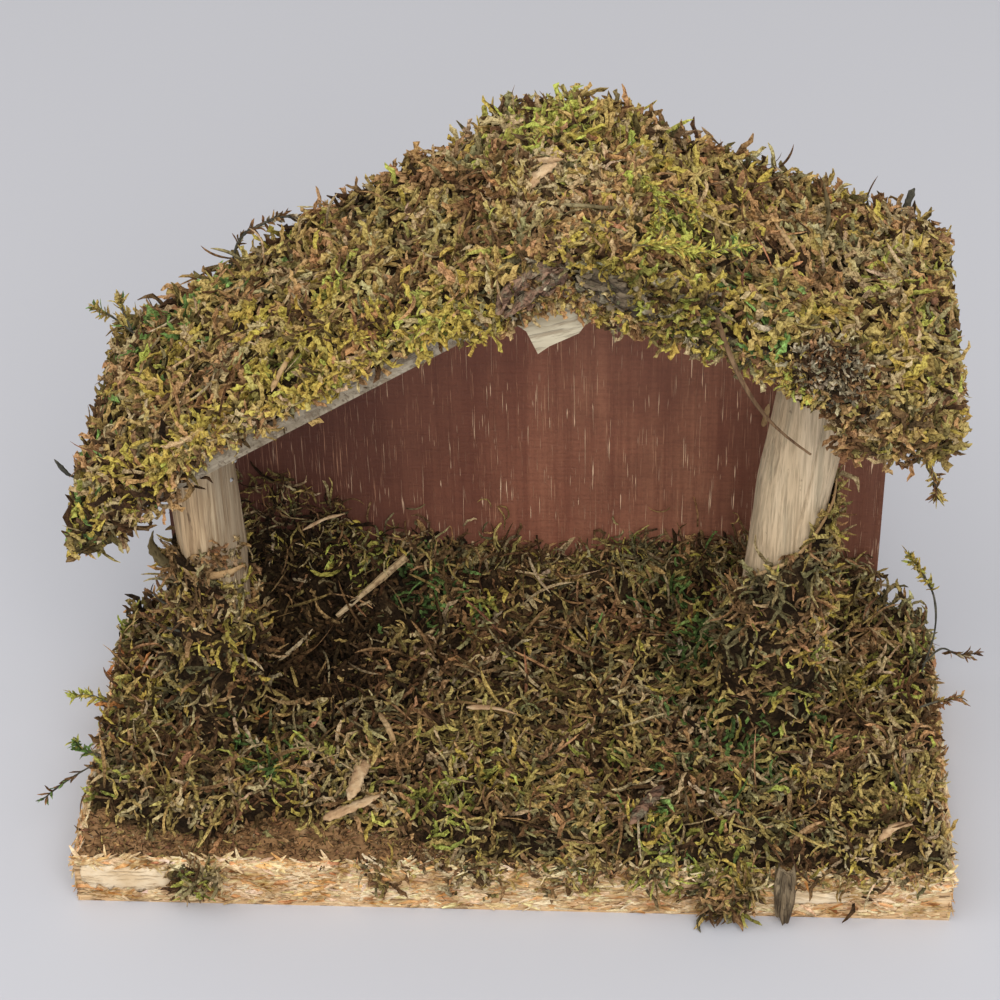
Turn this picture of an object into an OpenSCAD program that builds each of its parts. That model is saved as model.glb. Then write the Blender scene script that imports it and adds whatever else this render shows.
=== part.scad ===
// A small rustic stable for crib figures: a chipboard base, a stained plywood back wall, two debarked
// branch posts and two thin roof boards, all dressed with glued moss, bark and twigs.
// Millimetres. X runs to the right, Y to the back and Z up. The origin is the middle of the base's underside.

/* [Base board] */
// Width of the chipboard base, left to right
base_w = 180; // [160:1:220]
// Depth of the base, front to back
base_d = 74; // [66:1:100]
// Thickness of the chipboard
base_t = 12; // [9:0.5:18]
// Width of the worn arris along the top edges
base_wear = 0.9; // [0.4:0.1:1.6]

/* [Back wall] */
// How far the wall's ends stand in from the base's ends
wall_in = 12.8; // [11:0.2:20]
// Thickness of the plywood
wall_t = 3; // [2:0.5:5]
// Height of the wall's lower edge above the ground
wall_lift = 1; // [0.5:0.1:3]

/* [Roof boards] */
// Place of the ridge, to the right of the middle
ridge_x = 10.6; // [4:0.2:16]
// Height of the roof's underside at the ridge
ridge_z = 142; // [132:1:160]
// How far the left board's lower edge stays in from the base's end
left_eave_in = 10; // [2:0.5:11]
// Height of the left board's underside at its eave
left_eave_z = 83.4; // [76:0.2:96]
// How far the right board's lower edge stays in from the base's end
right_eave_in = 8.6; // [2:0.2:10]
// Height of the right board's underside at its eave
right_eave_z = 110; // [100:0.5:120]
// How far the boards' front edges stay behind the base's front
roof_front_in = 20.6; // [11:0.2:23]
// Thickness of the roof boards
roof_t = 4; // [3:0.2:6]
// Gap between the two boards where they meet
ridge_gap = 0.4; // [0.2:0.1:1]

/* [Left post] */
// Thickness of the left post
left_post_d = 13.8; // [11:0.2:16]
// How far its foot stands in from the base's left end
left_foot_in = 26; // [22:0.5:30]
// How far its foot stands behind the middle
left_foot_y = 1.5; // [-2:0.5:5]
// How far its head leans to the right
left_lean_x = 1.8; // [-1:0.2:5]
// How far its head leans to the back
left_lean_y = -0.5; // [-3:0.5:3]

/* [Right post] */
// Thickness of the right post
right_post_d = 14.8; // [12:0.2:17]
// How far its foot stands in from the base's right end
right_foot_in = 38.5; // [34:0.5:42]
// How far its foot stands behind the middle
right_foot_y = 7; // [3:0.5:10]
// How far its head leans to the right
right_lean_x = 9.9; // [5:0.1:13]
// How far its head leans to the back
right_lean_y = -2.5; // [-6:0.5:1]

/* [Nails and brads] */
// Thickness of the nails up into the posts
nail_d = 2.2; // [1.6:0.1:3]
// Length of the nails up into the posts
nail_l = 32; // [24:1:40]
// Thickness of the thin brads
brad_d = 1.2; // [0.9:0.1:1.6]
// Length of the thin brads
brad_l = 16; // [12:1:20]
// Distance from one roof brad to the next
brad_pitch = 6; // [5:0.5:8]

/* [Roof moss] */
// Height of the moss on the roof boards
roof_moss_t = 7.4; // [5:0.2:12]
// Width of the thick crest along the ridge
crest_w = 20; // [14:1:30]
// How far the moss stands out past the eaves
eave_hang = 3.6; // [2:0.2:6]
// How far the moss droops at the eaves
eave_droop = 6; // [3:0.5:9]
// How far the moss stands out past the front edge where it droops
front_hang = 1.9; // [1:0.1:4]
// How far the moss droops over the front edge
front_droop = 7; // [3:0.5:9]

/* [Ground moss] */
// Height of the moss on the base
ground_moss_t = 6.5; // [4:0.2:10]
// Height of the moss piled against the wall, over the rest
pile_h = 21.5; // [10:1:26]
// Depth over which the pile runs out
pile_run = 7; // [4:0.5:10]
// Width of the bare strip at the base's left front corner
bare_w = 15; // [8:0.5:20]
// Radius of the moss round the left post's foot
left_mound_r = 10.2; // [9.5:0.1:12]
// Radius of the moss round the right post's foot
right_mound_r = 13.5; // [12:0.1:16]

/* [Bark and twigs] */
// Length of the reddish bark slab left of the ridge
left_bark_l = 16; // [14:0.5:24]
// Length of the grey bark slab right of the ridge
right_bark_l = 24.5; // [22:0.5:36]
// Height of the bark slabs
bark_h = 11; // [8:0.5:14]
// Thickness of the bark
bark_t = 2; // [1.4:0.1:3]
// Length of the pale flake that hangs under the ridge
flake_l = 15; // [10:0.5:20]
// Thickness of the dry stick on the ground moss
stick_d = 1.9; // [1.2:0.1:3]
// Length of the dry stick
stick_l = 20; // [14:0.5:26]
// Thickness of the long stem before the right post
stem_d = 1.1; // [0.8:0.1:1.6]
// Length of the long stem
stem_l = 36; // [30:1:44]

/* [Hidden] */
$fn = 48;

// Gap between moss and what carries it
moss_gap = 0.3;
// Gap of a dry joint between wooden pieces
joint_gap = 0.1;
// Clearance round a nail or brad in its hole
nail_fit = 0.05;
// Overrun of a cut past a face
overrun = 1;
// Thickness of nail and brad heads
nail_head_t = 0.9;
brad_head_t = 0.5;
// Heads are this many shank thicknesses wide
head_share = 1.9;

wall_w = base_w - 2 * wall_in;
wall_y = base_d / 2;
back_y = wall_y + wall_t;
left_reach = base_w / 2 - left_eave_in;
right_reach = base_w / 2 - right_eave_in;
roof_front = base_d / 2 - roof_front_in;
left_pitch = (ridge_z - left_eave_z) / (left_reach + ridge_x);
right_pitch = (ridge_z - right_eave_z) / (right_reach - ridge_x);
left_angle = atan(left_pitch);
right_angle = atan(right_pitch);
left_rise = roof_t / cos(left_angle);
right_rise = roof_t / cos(right_angle);

// Height of the roof's underside and upper face at a place across the stable
function roof_under(x) = x <= ridge_x ? ridge_z - (ridge_x - x) * left_pitch
    : ridge_z - (x - ridge_x) * right_pitch;
function roof_over(x) = roof_under(x) + (x <= ridge_x ? left_rise : right_rise);

function mix(a, b, share) = a + (b - a) * share;
function clamp(value, low, high) = min(max(value, low), high);

// A steady value between 0 and 1 for a pair of whole numbers
function scatter(i, j) = let (v = abs(sin(i * 127.1 + j * 311.7 + 17)) * 4375.85) v - floor(v);

// Moss cushions between -1 and 1: domes round scattered middles, with creases where they meet.
// Around is the number of cushions in a closed turn, or 0.
function cushions(p, q, around = 0) =
    let (i = floor(p), j = floor(q),
        near = min([for (a = [i - 1:i + 1], b = [j - 1:j + 1])
            let (k = around > 0 ? (a + around) % around : a,
                dp = a + 0.15 + 0.7 * scatter(k, b) - p,
                dq = b + 0.15 + 0.7 * scatter(b + 41, k) - q)
            dp * dp + dq * dq + 0.22 * scatter(k + 7, b + 3)]))
    max(-1, 0.85 - 2.4 * near);

// Rounded unevenness between -1 and 1, made of crossing waves that bend each other
function bumps(p, q) = 0.6 * sin(360 * (p + 0.35 * sin(155 * q))) * sin(360 * (0.8 * q + 0.3 * sin(190 * p)))
    + 0.25 * sin(360 * (0.7 * p - 0.6 * q) + 70 * sin(220 * q)) + 0.15 * sin(360 * (1.1 * p + 1.4 * q) + 140);

// Runs round the outer edge of a grid, seen from above and against the clock
function edge_cells(nu, nv) = [for (i = [0:nu - 1]) [i, 0], for (j = [0:nv - 1]) [nu, j],
    for (i = [nu:-1:1]) [i, nv], for (j = [nv:-1:1]) [0, j]];

// The two triangles of each cell of a grid that starts at a given point of the list
function grid_faces(nu, nv, start, flip) = [for (i = [0:nu - 1], j = [0:nv - 1])
    let (a = start + i * (nv + 1) + j, b = a + nv + 1, c = b + 1, d = a + 1)
    each (flip ? [[a, b, c], [a, c, d]] : [[a, d, c], [a, c, b]])];

// The band of triangles between two rings of points
function band_faces(upper, lower) = [for (k = [0:len(upper) - 1])
    let (n = (k + 1) % len(upper))
    each [[upper[k], upper[n], lower[n]], [upper[k], lower[n], lower[k]]]];

// A closed solid between an upper and a lower grid
module sheet_solid(nu, nv, upper, lower) {
    size = (nu + 1) * (nv + 1);
    ring = [for (cell = edge_cells(nu, nv)) cell[0] * (nv + 1) + cell[1]];
    polyhedron(
        points = [for (i = [0:nu], j = [0:nv]) upper(i, j), for (i = [0:nu], j = [0:nv]) lower(i, j)],
        faces = [each grid_faces(nu, nv, 0, false), each grid_faces(nu, nv, size, true),
            each band_faces(ring, [for (k = ring) k + size])]);
}

// A closed mat: an upper grid, its drooping rim, and a flat seat inside the rim that ends in a hub
module mat_solid(nu, nv, upper, rim, seat, hub) {
    size = (nu + 1) * (nv + 1);
    cells = edge_cells(nu, nv);
    count = len(cells);
    ring = [for (cell = cells) cell[0] * (nv + 1) + cell[1]];
    rim_ring = [for (k = [0:count - 1]) size + k];
    seat_ring = [for (k = [0:count - 1]) size + count + k];
    hub_at = size + 2 * count;
    polyhedron(
        points = [for (i = [0:nu], j = [0:nv]) upper(i, j), for (cell = cells) rim(cell[0], cell[1]),
            for (cell = cells) seat(cell[0], cell[1]), hub],
        faces = [each grid_faces(nu, nv, 0, false), each band_faces(ring, rim_ring),
            each band_faces(rim_ring, seat_ring),
            for (k = [0:count - 1]) [seat_ring[k], seat_ring[(k + 1) % count], hub_at]]);
}

// A closed solid round an axis: sides go round it, steps go round the solid's own section
module ring_solid(sides, steps, place) {
    polyhedron(
        points = [for (i = [0:sides - 1], j = [0:steps - 1]) place(i, j)],
        faces = [for (i = [0:sides - 1], j = [0:steps - 1])
            let (n = (i + 1) % sides, m = (j + 1) % steps,
                a = i * steps + j, b = n * steps + j, c = n * steps + m, d = i * steps + m)
            each [[a, d, c], [a, c, b]]]);
}

// A closed rod of rings along a path, with flat ends
module rod_solid(sides, rings, place) {
    last = rings * sides;
    polyhedron(
        points = [for (j = [0:rings], i = [0:sides - 1]) place(j, i)],
        faces = [for (j = [0:rings - 1], i = [0:sides - 1])
            let (n = (i + 1) % sides, a = j * sides + i, b = j * sides + n, c = b + sides, d = a + sides)
            each [[a, d, c], [a, c, b]],
            [for (i = [0:sides - 1]) i],
            [for (i = [sides - 1:-1:0]) last + i]]);
}

// Puts a piece into the frame of a slope: X along the slope, Y to the back, Z square to the slope
module on_slope(x, y, angle) {
    translate([x, y, roof_under(x)])
        rotate([0, -angle, 0])
            children();
}

// A round nail whose head's face lies at zero and whose shank goes down
module nail(shank_d, long, head_t, spare) {
    translate([0, 0, -head_t - spare])
        cylinder(r = shank_d * head_share / 2 + spare, h = head_t + spare + (spare > 0 ? overrun : 0));
    translate([0, 0, -long - spare])
        cylinder(r = shank_d / 2 + spare, h = long + spare);
}

// Feet and heads of the posts, and the brads along the wall's foot
left_foot = [left_foot_in - base_w / 2, left_foot_y];
right_foot = [base_w / 2 - right_foot_in, right_foot_y];
left_head = left_foot + [left_lean_x, left_lean_y];
right_head = right_foot + [right_lean_x, right_lean_y];
wall_brad_count = 4;
wall_brad_shares = [for (k = [0:wall_brad_count - 1]) (k + 0.5) / wall_brad_count - 0.5];

// Chipboard base with worn upper arrises and crumbled nicks.
// A nick has its place along the edge, its length, its depth and its turn.
nick_l = 11;
nick_depth = 1.5;
front_nick_shares = [[-0.47, 0.9, 1, 20], [-0.39, 0.5, 0.7, -12], [-0.31, 1, 0.9, 8], [-0.235, 0.45, 1.1, -25],
    [-0.16, 0.8, 0.6, 14], [-0.06, 1, 1, -6], [0.05, 0.5, 0.8, 30], [0.13, 0.9, 1.1, -10], [0.24, 0.6, 0.7, 18],
    [0.37, 0.9, 1, -16], [0.45, 0.5, 1.2, 25]];
side_nick_shares = [[-0.4, 0.8, 1, 12], [-0.22, 0.5, 0.8, -20], [0.02, 0.9, 0.9, 10], [0.27, 0.6, 1, -14]];

function worn_outline(width) = [[-width / 2, 0], [width / 2, 0], [width / 2, base_t - base_wear],
    [width / 2 - base_wear, base_t], [base_wear - width / 2, base_t], [-width / 2, base_t - base_wear]];

module place_base_nails() {
    for (foot = [left_foot, right_foot])
        translate([foot[0], foot[1], 0])
            rotate([180, 0, 0])
                children();
}

module place_wall_brads() {
    for (share = wall_brad_shares)
        translate([share * wall_w, back_y, base_t / 2])
            rotate([-90, 0, 0])
                children();
}

// Bites out of the upper edge that lies at a distance before the middle
module nicks(shares, edge_l, edge_y) {
    for (nick = shares)
        translate([nick[0] * edge_l, edge_y, base_t])
            rotate([45 + nick[3], 0, nick[3] / 4])
                cube([nick[1] * nick_l, nick[2] * nick_depth, nick[2] * nick_depth], center = true);
}

module base_board() {
    color("tan")
        difference() {
            intersection() {
                rotate([90, 0, 0])
                    linear_extrude(height = base_d, center = true)
                        polygon(worn_outline(base_w));
                rotate([90, 0, 90])
                    linear_extrude(height = base_w, center = true)
                        polygon(worn_outline(base_d));
            }
            nicks(front_nick_shares, base_w, -base_d / 2);
            for (side = [-1, 1])
                rotate([0, 0, side * 90])
                    nicks(side_nick_shares, base_d, -base_w / 2);
            place_base_nails()
                nail(nail_d, nail_l, nail_head_t, nail_fit);
            place_wall_brads()
                nail(brad_d, brad_l, brad_head_t, nail_fit);
        }
}

// Plywood wall behind the base, cut to the roof's two slopes
module back_wall() {
    color("saddlebrown")
        difference() {
            translate([0, back_y, 0])
                rotate([90, 0, 0])
                    linear_extrude(height = wall_t - joint_gap)
                        polygon([[-wall_w / 2, wall_lift], [wall_w / 2, wall_lift],
                            [wall_w / 2, roof_under(wall_w / 2) - joint_gap],
                            [ridge_x, ridge_z - joint_gap],
                            [-wall_w / 2, roof_under(-wall_w / 2) - joint_gap]]);
            place_wall_brads()
                nail(brad_d, brad_l, brad_head_t, nail_fit);
        }
}

// Debarked branches. Each post is its foot, its head, its thickness, its bow and the turn of its flutes.
post_sides = 20;
post_rings = 14;
post_taper_share = 0.1;
flute_share = 0.035;
knot_share = 0.06;
bow_share = 0.09;
left_post_shape = [left_foot, left_head, left_post_d, left_post_d * bow_share, 40];
right_post_shape = [right_foot, right_head, right_post_d, -right_post_d * bow_share, 160];

function post_axis(post, s) = mix(post[0], post[1], s)
    + post[3] * [sin(180 * s), 0.5 * sin(300 * s)];
function post_radius(post, s, turn) = post[2] / 2 * (1 + post_taper_share * (0.5 - s)
    + flute_share * sin(3 * turn + 120 * s + post[4])
    + knot_share * exp(-pow((s - 0.62) / 0.07, 2)) * cos(turn - post[4])
    + flute_share * exp(-s / 0.06) * (1 + sin(2 * turn)));

// A point on the post's skin, or outside it, at a share of the height. The top follows the roof's slope.
function post_skin(post, s, turn, out) =
    let (c = post_axis(post, s), r = post_radius(post, s, turn) + out,
        x = c[0] + r * cos(turn), y = c[1] + r * sin(turn), low = base_t + joint_gap)
    [x, y, mix(low, roof_under(x) - joint_gap, s)];

module branch(post) {
    rod_solid(post_sides, post_rings,
        function (j, i) post_skin(post, j / post_rings, 360 * i / post_sides, 0));
}

module place_roof_brads(head, angle) {
    for (side = [-1, 1])
        on_slope(head[0], head[1] + side * brad_pitch / 2, angle)
            translate([0, 0, roof_t])
                children();
}

module left_post() {
    color("burlywood")
        difference() {
            branch(left_post_shape);
            place_base_nails()
                nail(nail_d, nail_l, nail_head_t, nail_fit);
            place_roof_brads(left_head, left_angle)
                nail(brad_d, brad_l, brad_head_t, nail_fit);
        }
}

module right_post() {
    color("wheat")
        difference() {
            branch(right_post_shape);
            place_base_nails()
                nail(nail_d, nail_l, nail_head_t, nail_fit);
            place_roof_brads(right_head, -right_angle)
                nail(brad_d, brad_l, brad_head_t, nail_fit);
        }
}

// Roof boards with square eaves and a plumb cut at the ridge
module roof_board(reach, eave_z, pitch_angle, side) {
    rise = roof_t / cos(pitch_angle);
    out = side * reach;
    cut = ridge_x + side * ridge_gap / 2;
    cut_z = roof_under(cut);
    translate([0, back_y, 0])
        rotate([90, 0, 0])
            linear_extrude(height = back_y + roof_front)
                polygon([[cut, cut_z], [cut, cut_z + rise],
                    [out + side * roof_t * sin(pitch_angle), eave_z + roof_t * cos(pitch_angle)],
                    [out, eave_z]]);
}

module left_roof_panel() {
    color("darkgray")
        difference() {
            roof_board(left_reach, left_eave_z, left_angle, -1);
            place_roof_brads(left_head, left_angle)
                nail(brad_d, brad_l, brad_head_t, nail_fit);
        }
}

module right_roof_panel() {
    color("darkgray")
        difference() {
            roof_board(right_reach, right_eave_z, right_angle, 1);
            place_roof_brads(right_head, -right_angle)
                nail(brad_d, brad_l, brad_head_t, nail_fit);
        }
}

module base_nails() {
    color("silver")
        place_base_nails()
            nail(nail_d, nail_l, nail_head_t, 0);
}

module wall_brads() {
    color("silver")
        place_wall_brads()
            nail(brad_d, brad_l, brad_head_t, 0);
}

module roof_brads() {
    color("silver") {
        place_roof_brads(left_head, left_angle)
            nail(brad_d, brad_l, brad_head_t, 0);
        place_roof_brads(right_head, -right_angle)
            nail(brad_d, brad_l, brad_head_t, 0);
    }
}

// Quarter-round glue fillets in the corner of the wall and the roof
bead_r = wall_t * 0.8;
bead_end = 3 * bead_r;

module glue_bead(x, angle, long) {
    down = [sin(angle), 0, -cos(angle)];
    along = [cos(angle), 0, sin(angle)];
    corner = [x, wall_y - joint_gap / 2, roof_under(x) - joint_gap];
    multmatrix([[0, down[0], along[0], corner[0]], [-1, down[1], along[1], corner[1]],
        [0, down[2], along[2], corner[2]], [0, 0, 0, 1]])
        linear_extrude(height = long)
            intersection() {
                circle(r = bead_r);
                square(bead_r);
            }
}

module wall_glue_beads() {
    left_start = -wall_w / 2 + bead_end;
    color("ivory") {
        glue_bead(left_start, left_angle, (ridge_x - bead_end - left_start) / cos(left_angle));
        glue_bead(ridge_x + bead_end, -right_angle, (wall_w / 2 - ridge_x - 2 * bead_end) / cos(right_angle));
    }
}

// Bark: a curved shell with furrows along it and torn ends that lean by a share of the height
bark_bulge = bark_t * 1.1;
bark_rag = bark_t * 0.7;
furrow_count = 2.5;

module bark_slab(long, high, seed, lean = 0, rag = bark_rag, rounding = 1) {
    nu = 11;
    nv = 10;
    function low_x(v) = rag * (1.2 + bumps(1.7 * v + seed, seed)) - long / 2;
    function high_x(v) = long / 2 - rag * (1.2 + bumps(1.9 * v, seed + 0.4));
    function low_z(u) = rag * 0.6 * (1 + bumps(1.3 * u, seed))
        - high * (0.5 - 0.2 * rounding * pow(2 * u - 1, 4));
    function high_z(u) = high * (0.5 - 0.14 * rounding * pow(2 * u - 1, 2))
        - rag * 0.6 * (1 + bumps(1.1 * u + seed, 0.7));
    function face_y(u, v) = -bark_bulge * sin(180 * v);
    function furrow(u, v) = bark_t * (0.22 * cos(360 * (furrow_count * v + 0.3 * bumps(1.2 * u, seed)))
        + 0.12 * bumps(2 * u + seed, v));
    function place(i, j, deep) = let (u = i / nu, v = j / nv, z = mix(low_z(u), high_z(u), v))
        [mix(low_x(v), high_x(v), u) + lean * z, face_y(u, v) - deep * (bark_t * 0.7 + furrow(u, v)), z];
    sheet_solid(nu, nv, function (i, j) place(i, j, 1), function (i, j) place(i, j, 0));
}

flake_t = bark_t * 0.6;
flake_y = -roof_front - joint_gap - flake_t;
bark_y = flake_y - joint_gap;
bark_over_share = 1.35;
left_along_share = 0.37;
right_along_share = 0.59;

module gable_bark_left() {
    color("rosybrown")
        on_slope(ridge_x - left_bark_l * left_along_share, bark_y, left_angle)
            translate([0, 0, roof_t * bark_over_share])
                bark_slab(left_bark_l, bark_h, 0.3, tan(left_angle));
}

module gable_bark_right() {
    color("slategray")
        on_slope(ridge_x + right_bark_l * right_along_share, bark_y, -right_angle)
            translate([0, 0, roof_t * bark_over_share])
                bark_slab(right_bark_l, bark_h * 0.95, 1.7, -tan(right_angle));
}

// Pale flake: its upper part is glued to the boards' front edges and its tip hangs under the ridge
flake_shares = [[-0.1, 0.27], [-0.55, 0.08], [-0.5, -0.12], [-0.3, -0.28], [-0.16, -0.62], [-0.02, -0.5],
    [0.34, -0.3], [0.46, -0.1], [0.5, 0.26]];

module gable_bark_flake() {
    color("antiquewhite")
        translate([ridge_x - roof_t * 0.5, flake_y + flake_t, ridge_z - roof_t])
            rotate([90, 0, 0])
                linear_extrude(height = flake_t)
                    polygon(flake_l * flake_shares);
}

// Moss on the roof. A place on the mat is a pair of shares: u across the stable and v front to back.
tuft_w = 10;
tuft_h = 2.3;
rim_t = 2.6;
lip = 0.5;
seat_in = 1;
moss_rows = 21;
// How much of the full droop the front rim has, at shares of the roof's width from the left
front_droop_shares = [[0, 1], [0.1, 0.9], [0.15, 0.12], [0.92, 0.12], [0.95, 0.8], [1, 1]];
// How full the mat is one, two and three rows in from its rim
rim_shares = [[0, 0], [1, 0.72], [2, 0.95], [3, 1]];

function roof_share(x) = (x + left_reach) / (left_reach + right_reach);
function droop_share(x) = lookup(roof_share(x), front_droop_shares);
function front_rim_y(x) = -roof_front - moss_gap - lip
    - front_hang * droop_share(x) * (1 + 0.35 * bumps(x / tuft_w, 0.4));
function back_rim_y(x) = back_y + moss_gap + lip + front_hang * (0.6 + 0.4 * sin(360 * x / tuft_w / 3));
// The first and last rows hang past the boards' edges, and the next rows lie just off those edges
function mat_row_y(x, j) = j == 0 ? front_rim_y(x) : j == moss_rows ? back_rim_y(x)
    : mix(-roof_front - moss_gap, back_y + moss_gap, (j - 1) / (moss_rows - 2));
function crown(x, y, full) = roof_over(x) + moss_gap + rim_t + (roof_moss_t - rim_t) * full
    + tuft_h * full * cushions(x / tuft_w, y / tuft_w);

module roof_mat(low_x, high_x, cols, low_open, high_open) {
    rows = moss_rows;
    low_edge = low_open ? low_x + eave_hang + lip : low_x + seat_in;
    high_edge = high_open ? high_x - eave_hang - lip : high_x - seat_in;
    first = low_open ? 1 : 0;
    last = high_open ? cols - 1 : cols;
    function place_x(i, j) = i < first ? low_x + lip * sin(140 * j) : i > last ? high_x + lip * sin(140 * j)
        : mix(low_open ? low_edge : low_x, high_open ? high_edge : high_x, (i - first) / (last - first));
    function place_y(i, j) = mat_row_y(place_x(i, j), j);
    function rows_in(i, j) = min(j, rows - j, low_open ? i : rows, high_open ? cols - i : rows);
    function eave_share(x) = max(low_open ? clamp((low_edge - x) / eave_hang, 0, 1) : 0,
        high_open ? clamp((x - high_edge) / eave_hang, 0, 1) : 0);
    function sag(i, j) = let (x = place_x(i, j))
        max(j == 0 ? front_droop * droop_share(x) : 0, j == rows ? front_droop * 0.5 : 0,
            eave_droop * eave_share(x));
    mat_solid(cols, rows,
        function (i, j) let (x = place_x(i, j), y = place_y(i, j))
            [x, y, crown(x, y, lookup(rows_in(i, j), rim_shares)) - sag(i, j)],
        function (i, j) let (x = place_x(i, j))
            [x, place_y(i, j), roof_over(x) + moss_gap - sag(i, j)],
        function (i, j) let (x = clamp(place_x(i, j), low_edge, high_edge))
            [x, clamp(place_y(i, j), -roof_front - moss_gap, back_y + moss_gap), roof_over(x) + moss_gap],
        let (x = (low_x + high_x) / 2) [x, (back_y - roof_front) / 2, roof_over(x) + moss_gap]);
}

left_moss_end = -left_reach - roof_t * sin(left_angle) - moss_gap - eave_hang - lip;
right_moss_end = right_reach + roof_t * sin(right_angle) + moss_gap + eave_hang + lip;

module roof_moss_left() {
    color("olivedrab")
        roof_mat(left_moss_end, ridge_x - crest_w / 2 - moss_gap, 35, true, false);
}

module roof_moss_right() {
    color("olivedrab")
        roof_mat(ridge_x + crest_w / 2 + moss_gap, right_moss_end, 27, false, true);
}

// The crest bends over the ridge, so its underside has the grid of its upper face
module ridge_moss() {
    cols = 8;
    rows = moss_rows;
    function place_x(i) = mix(ridge_x - crest_w / 2, ridge_x + crest_w / 2, i / cols);
    function full(j) = lookup(min(j, rows - j), rim_shares);
    color("yellowgreen")
        sheet_solid(cols, rows,
            function (i, j) let (x = place_x(i), y = mat_row_y(x, j))
                [x, y, crown(x, y, full(j)) - ridge_round(x)],
            function (i, j) let (x = place_x(i))
                [x, mat_row_y(x, j), roof_over(x) + moss_gap]);
}

// The moss rounds the ridge off
function ridge_round(x) = roof_t * 0.55 * (1 + cos(360 * (x - ridge_x) / crest_w)) / 2;

// Moss on the ground. It hugs the mounds round the posts and climbs against the wall.
ground_tuft_w = 9;
ground_rim_t = 2.4;
edge_in = 0.6;
pile_shares = [[-0.5, 0.05], [-0.44, 0.16], [-0.4, 0.52], [-0.3, 0.88], [-0.2, 0.96], [-0.1, 0.92], [0.05, 0.84],
    [0.2, 0.95], [0.34, 0.85], [0.42, 0.6], [0.45, 0.3], [0.5, 0.05]];
bare_shares = [[-0.5, 0.95], [-0.47, 0.85], [-0.44, 0.55], [-0.34, 0.3], [-0.31, 0.62], [-0.28, 0.76],
    [-0.2, 0.7], [-0.15, 0.52], [-0.1, 0.34], [-0.06, 0.15], [-0.02, 0.05], [0.2, 0], [0.5, 0]];
// Where the front mat ends and the back mat starts, between the posts
seam_left_y = left_foot_y;
seam_right_y = right_foot_y;

left_notch_r = left_mound_r + moss_gap;
right_notch_r = right_mound_r + moss_gap;

function seam_y(x) = mix(seam_left_y, seam_right_y,
    clamp((x - left_foot[0]) / (right_foot[0] - left_foot[0]), 0, 1));
function notch(x, foot, r) = sqrt(max(0, r * r - pow(x - foot[0], 2)));
function notches(x) = max(notch(x, left_foot, left_notch_r), notch(x, right_foot, right_notch_r));
function front_edge_y(x) = -base_d / 2 + edge_in + base_wear + bare_w * lookup(x / base_w, bare_shares)
    + edge_in * sin(360 * x / ground_tuft_w / 2);
function pile(x, y) = pile_h * lookup(x / base_w, pile_shares) * exp((y - wall_y) / pile_run);
function ground_top(x, y, full) = base_t + moss_gap + ground_rim_t + pile(x, y)
    + (ground_moss_t - ground_rim_t) * full + tuft_h * full * cushions(x / ground_tuft_w, y / ground_tuft_w);

// Columns of the ground mats: even steps between the posts, finer round them
notch_steps = 10;
function even_steps(low, high, count) = [for (k = [0:count - 1]) mix(low, high, k / count)];
function round_steps(foot, r) = [for (k = [0:notch_steps - 1]) foot[0] - r * cos(180 * k / notch_steps)];
ground_edge_x = base_w / 2 - edge_in - base_wear;
ground_cols = [
    each even_steps(-ground_edge_x, left_foot[0] - left_notch_r, 4),
    each round_steps(left_foot, left_notch_r),
    each even_steps(left_foot[0] + left_notch_r, right_foot[0] - right_notch_r, 21),
    each round_steps(right_foot, right_notch_r),
    each even_steps(right_foot[0] + right_notch_r, ground_edge_x, 6),
    ground_edge_x];

// The front mat and the back mat: each is its front outline, its rear outline and whether it meets the wall
ground_rows = 12;
ground_last = len(ground_cols) - 1;
front_mat = [function (x) front_edge_y(x), function (x) seam_y(x) - moss_gap / 2 - notches(x), false];
back_mat = [function (x) seam_y(x) + moss_gap / 2 + notches(x), function (x) wall_y - moss_gap, true];

function mat_y(mat, i, j) = let (x = ground_cols[i], low = mat[0], high = mat[1])
    mix(low(x), high(x), j / ground_rows);
function mat_z(mat, i, j) = let (near = min(i, ground_last - i, mat[2] ? ground_rows : j))
    ground_top(ground_cols[i], mat_y(mat, i, j), lookup(near, rim_shares));

// Height of a mat's faces at any place, read from the triangle that holds it
function mat_height(mat, x, y) =
    let (i = max([for (k = [0:ground_last - 1]) ground_cols[k] <= x ? k : 0]),
        u = (x - ground_cols[i]) / (ground_cols[i + 1] - ground_cols[i]),
        low = mix(mat_y(mat, i, 0), mat_y(mat, i + 1, 0), u),
        high = mix(mat_y(mat, i, ground_rows), mat_y(mat, i + 1, ground_rows), u),
        row = clamp((y - low) / (high - low), 0, 0.999) * ground_rows, j = floor(row), v = row - j,
        near = mat_z(mat, i, j), far = mat_z(mat, i + 1, j + 1),
        side = u >= v ? mat_z(mat, i + 1, j) : mat_z(mat, i, j + 1))
    near + max(u, v) * (side - near) + min(u, v) * (far - side);

module ground_mat(mat) {
    cols = ground_last;
    rows = ground_rows;
    low_y = mat[0];
    high_y = mat[1];
    function floor_point(x, y) = [x, y, base_t + moss_gap];
    mat_solid(cols, rows,
        function (i, j) [ground_cols[i], mat_y(mat, i, j), mat_z(mat, i, j)],
        function (i, j) floor_point(ground_cols[i], mat_y(mat, i, j)),
        function (i, j) let (x = ground_cols[i], y = mat_y(mat, i, j), middle = (low_y(x) + high_y(x)) / 2)
            floor_point(x * (1 - edge_in / ground_edge_x), mix(y, middle, 0.15)),
        floor_point(0, (low_y(0) + high_y(0)) / 2));
}

module ground_moss_front() {
    color("darkolivegreen")
        ground_mat(front_mat);
}

module ground_moss_back() {
    color("darkolivegreen")
        ground_mat(back_mat);
}

// Moss round a post: a shell that follows the post inside and swells into a mound outside
wrap_steps = 11;
wrap_cushions = 5;

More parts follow.
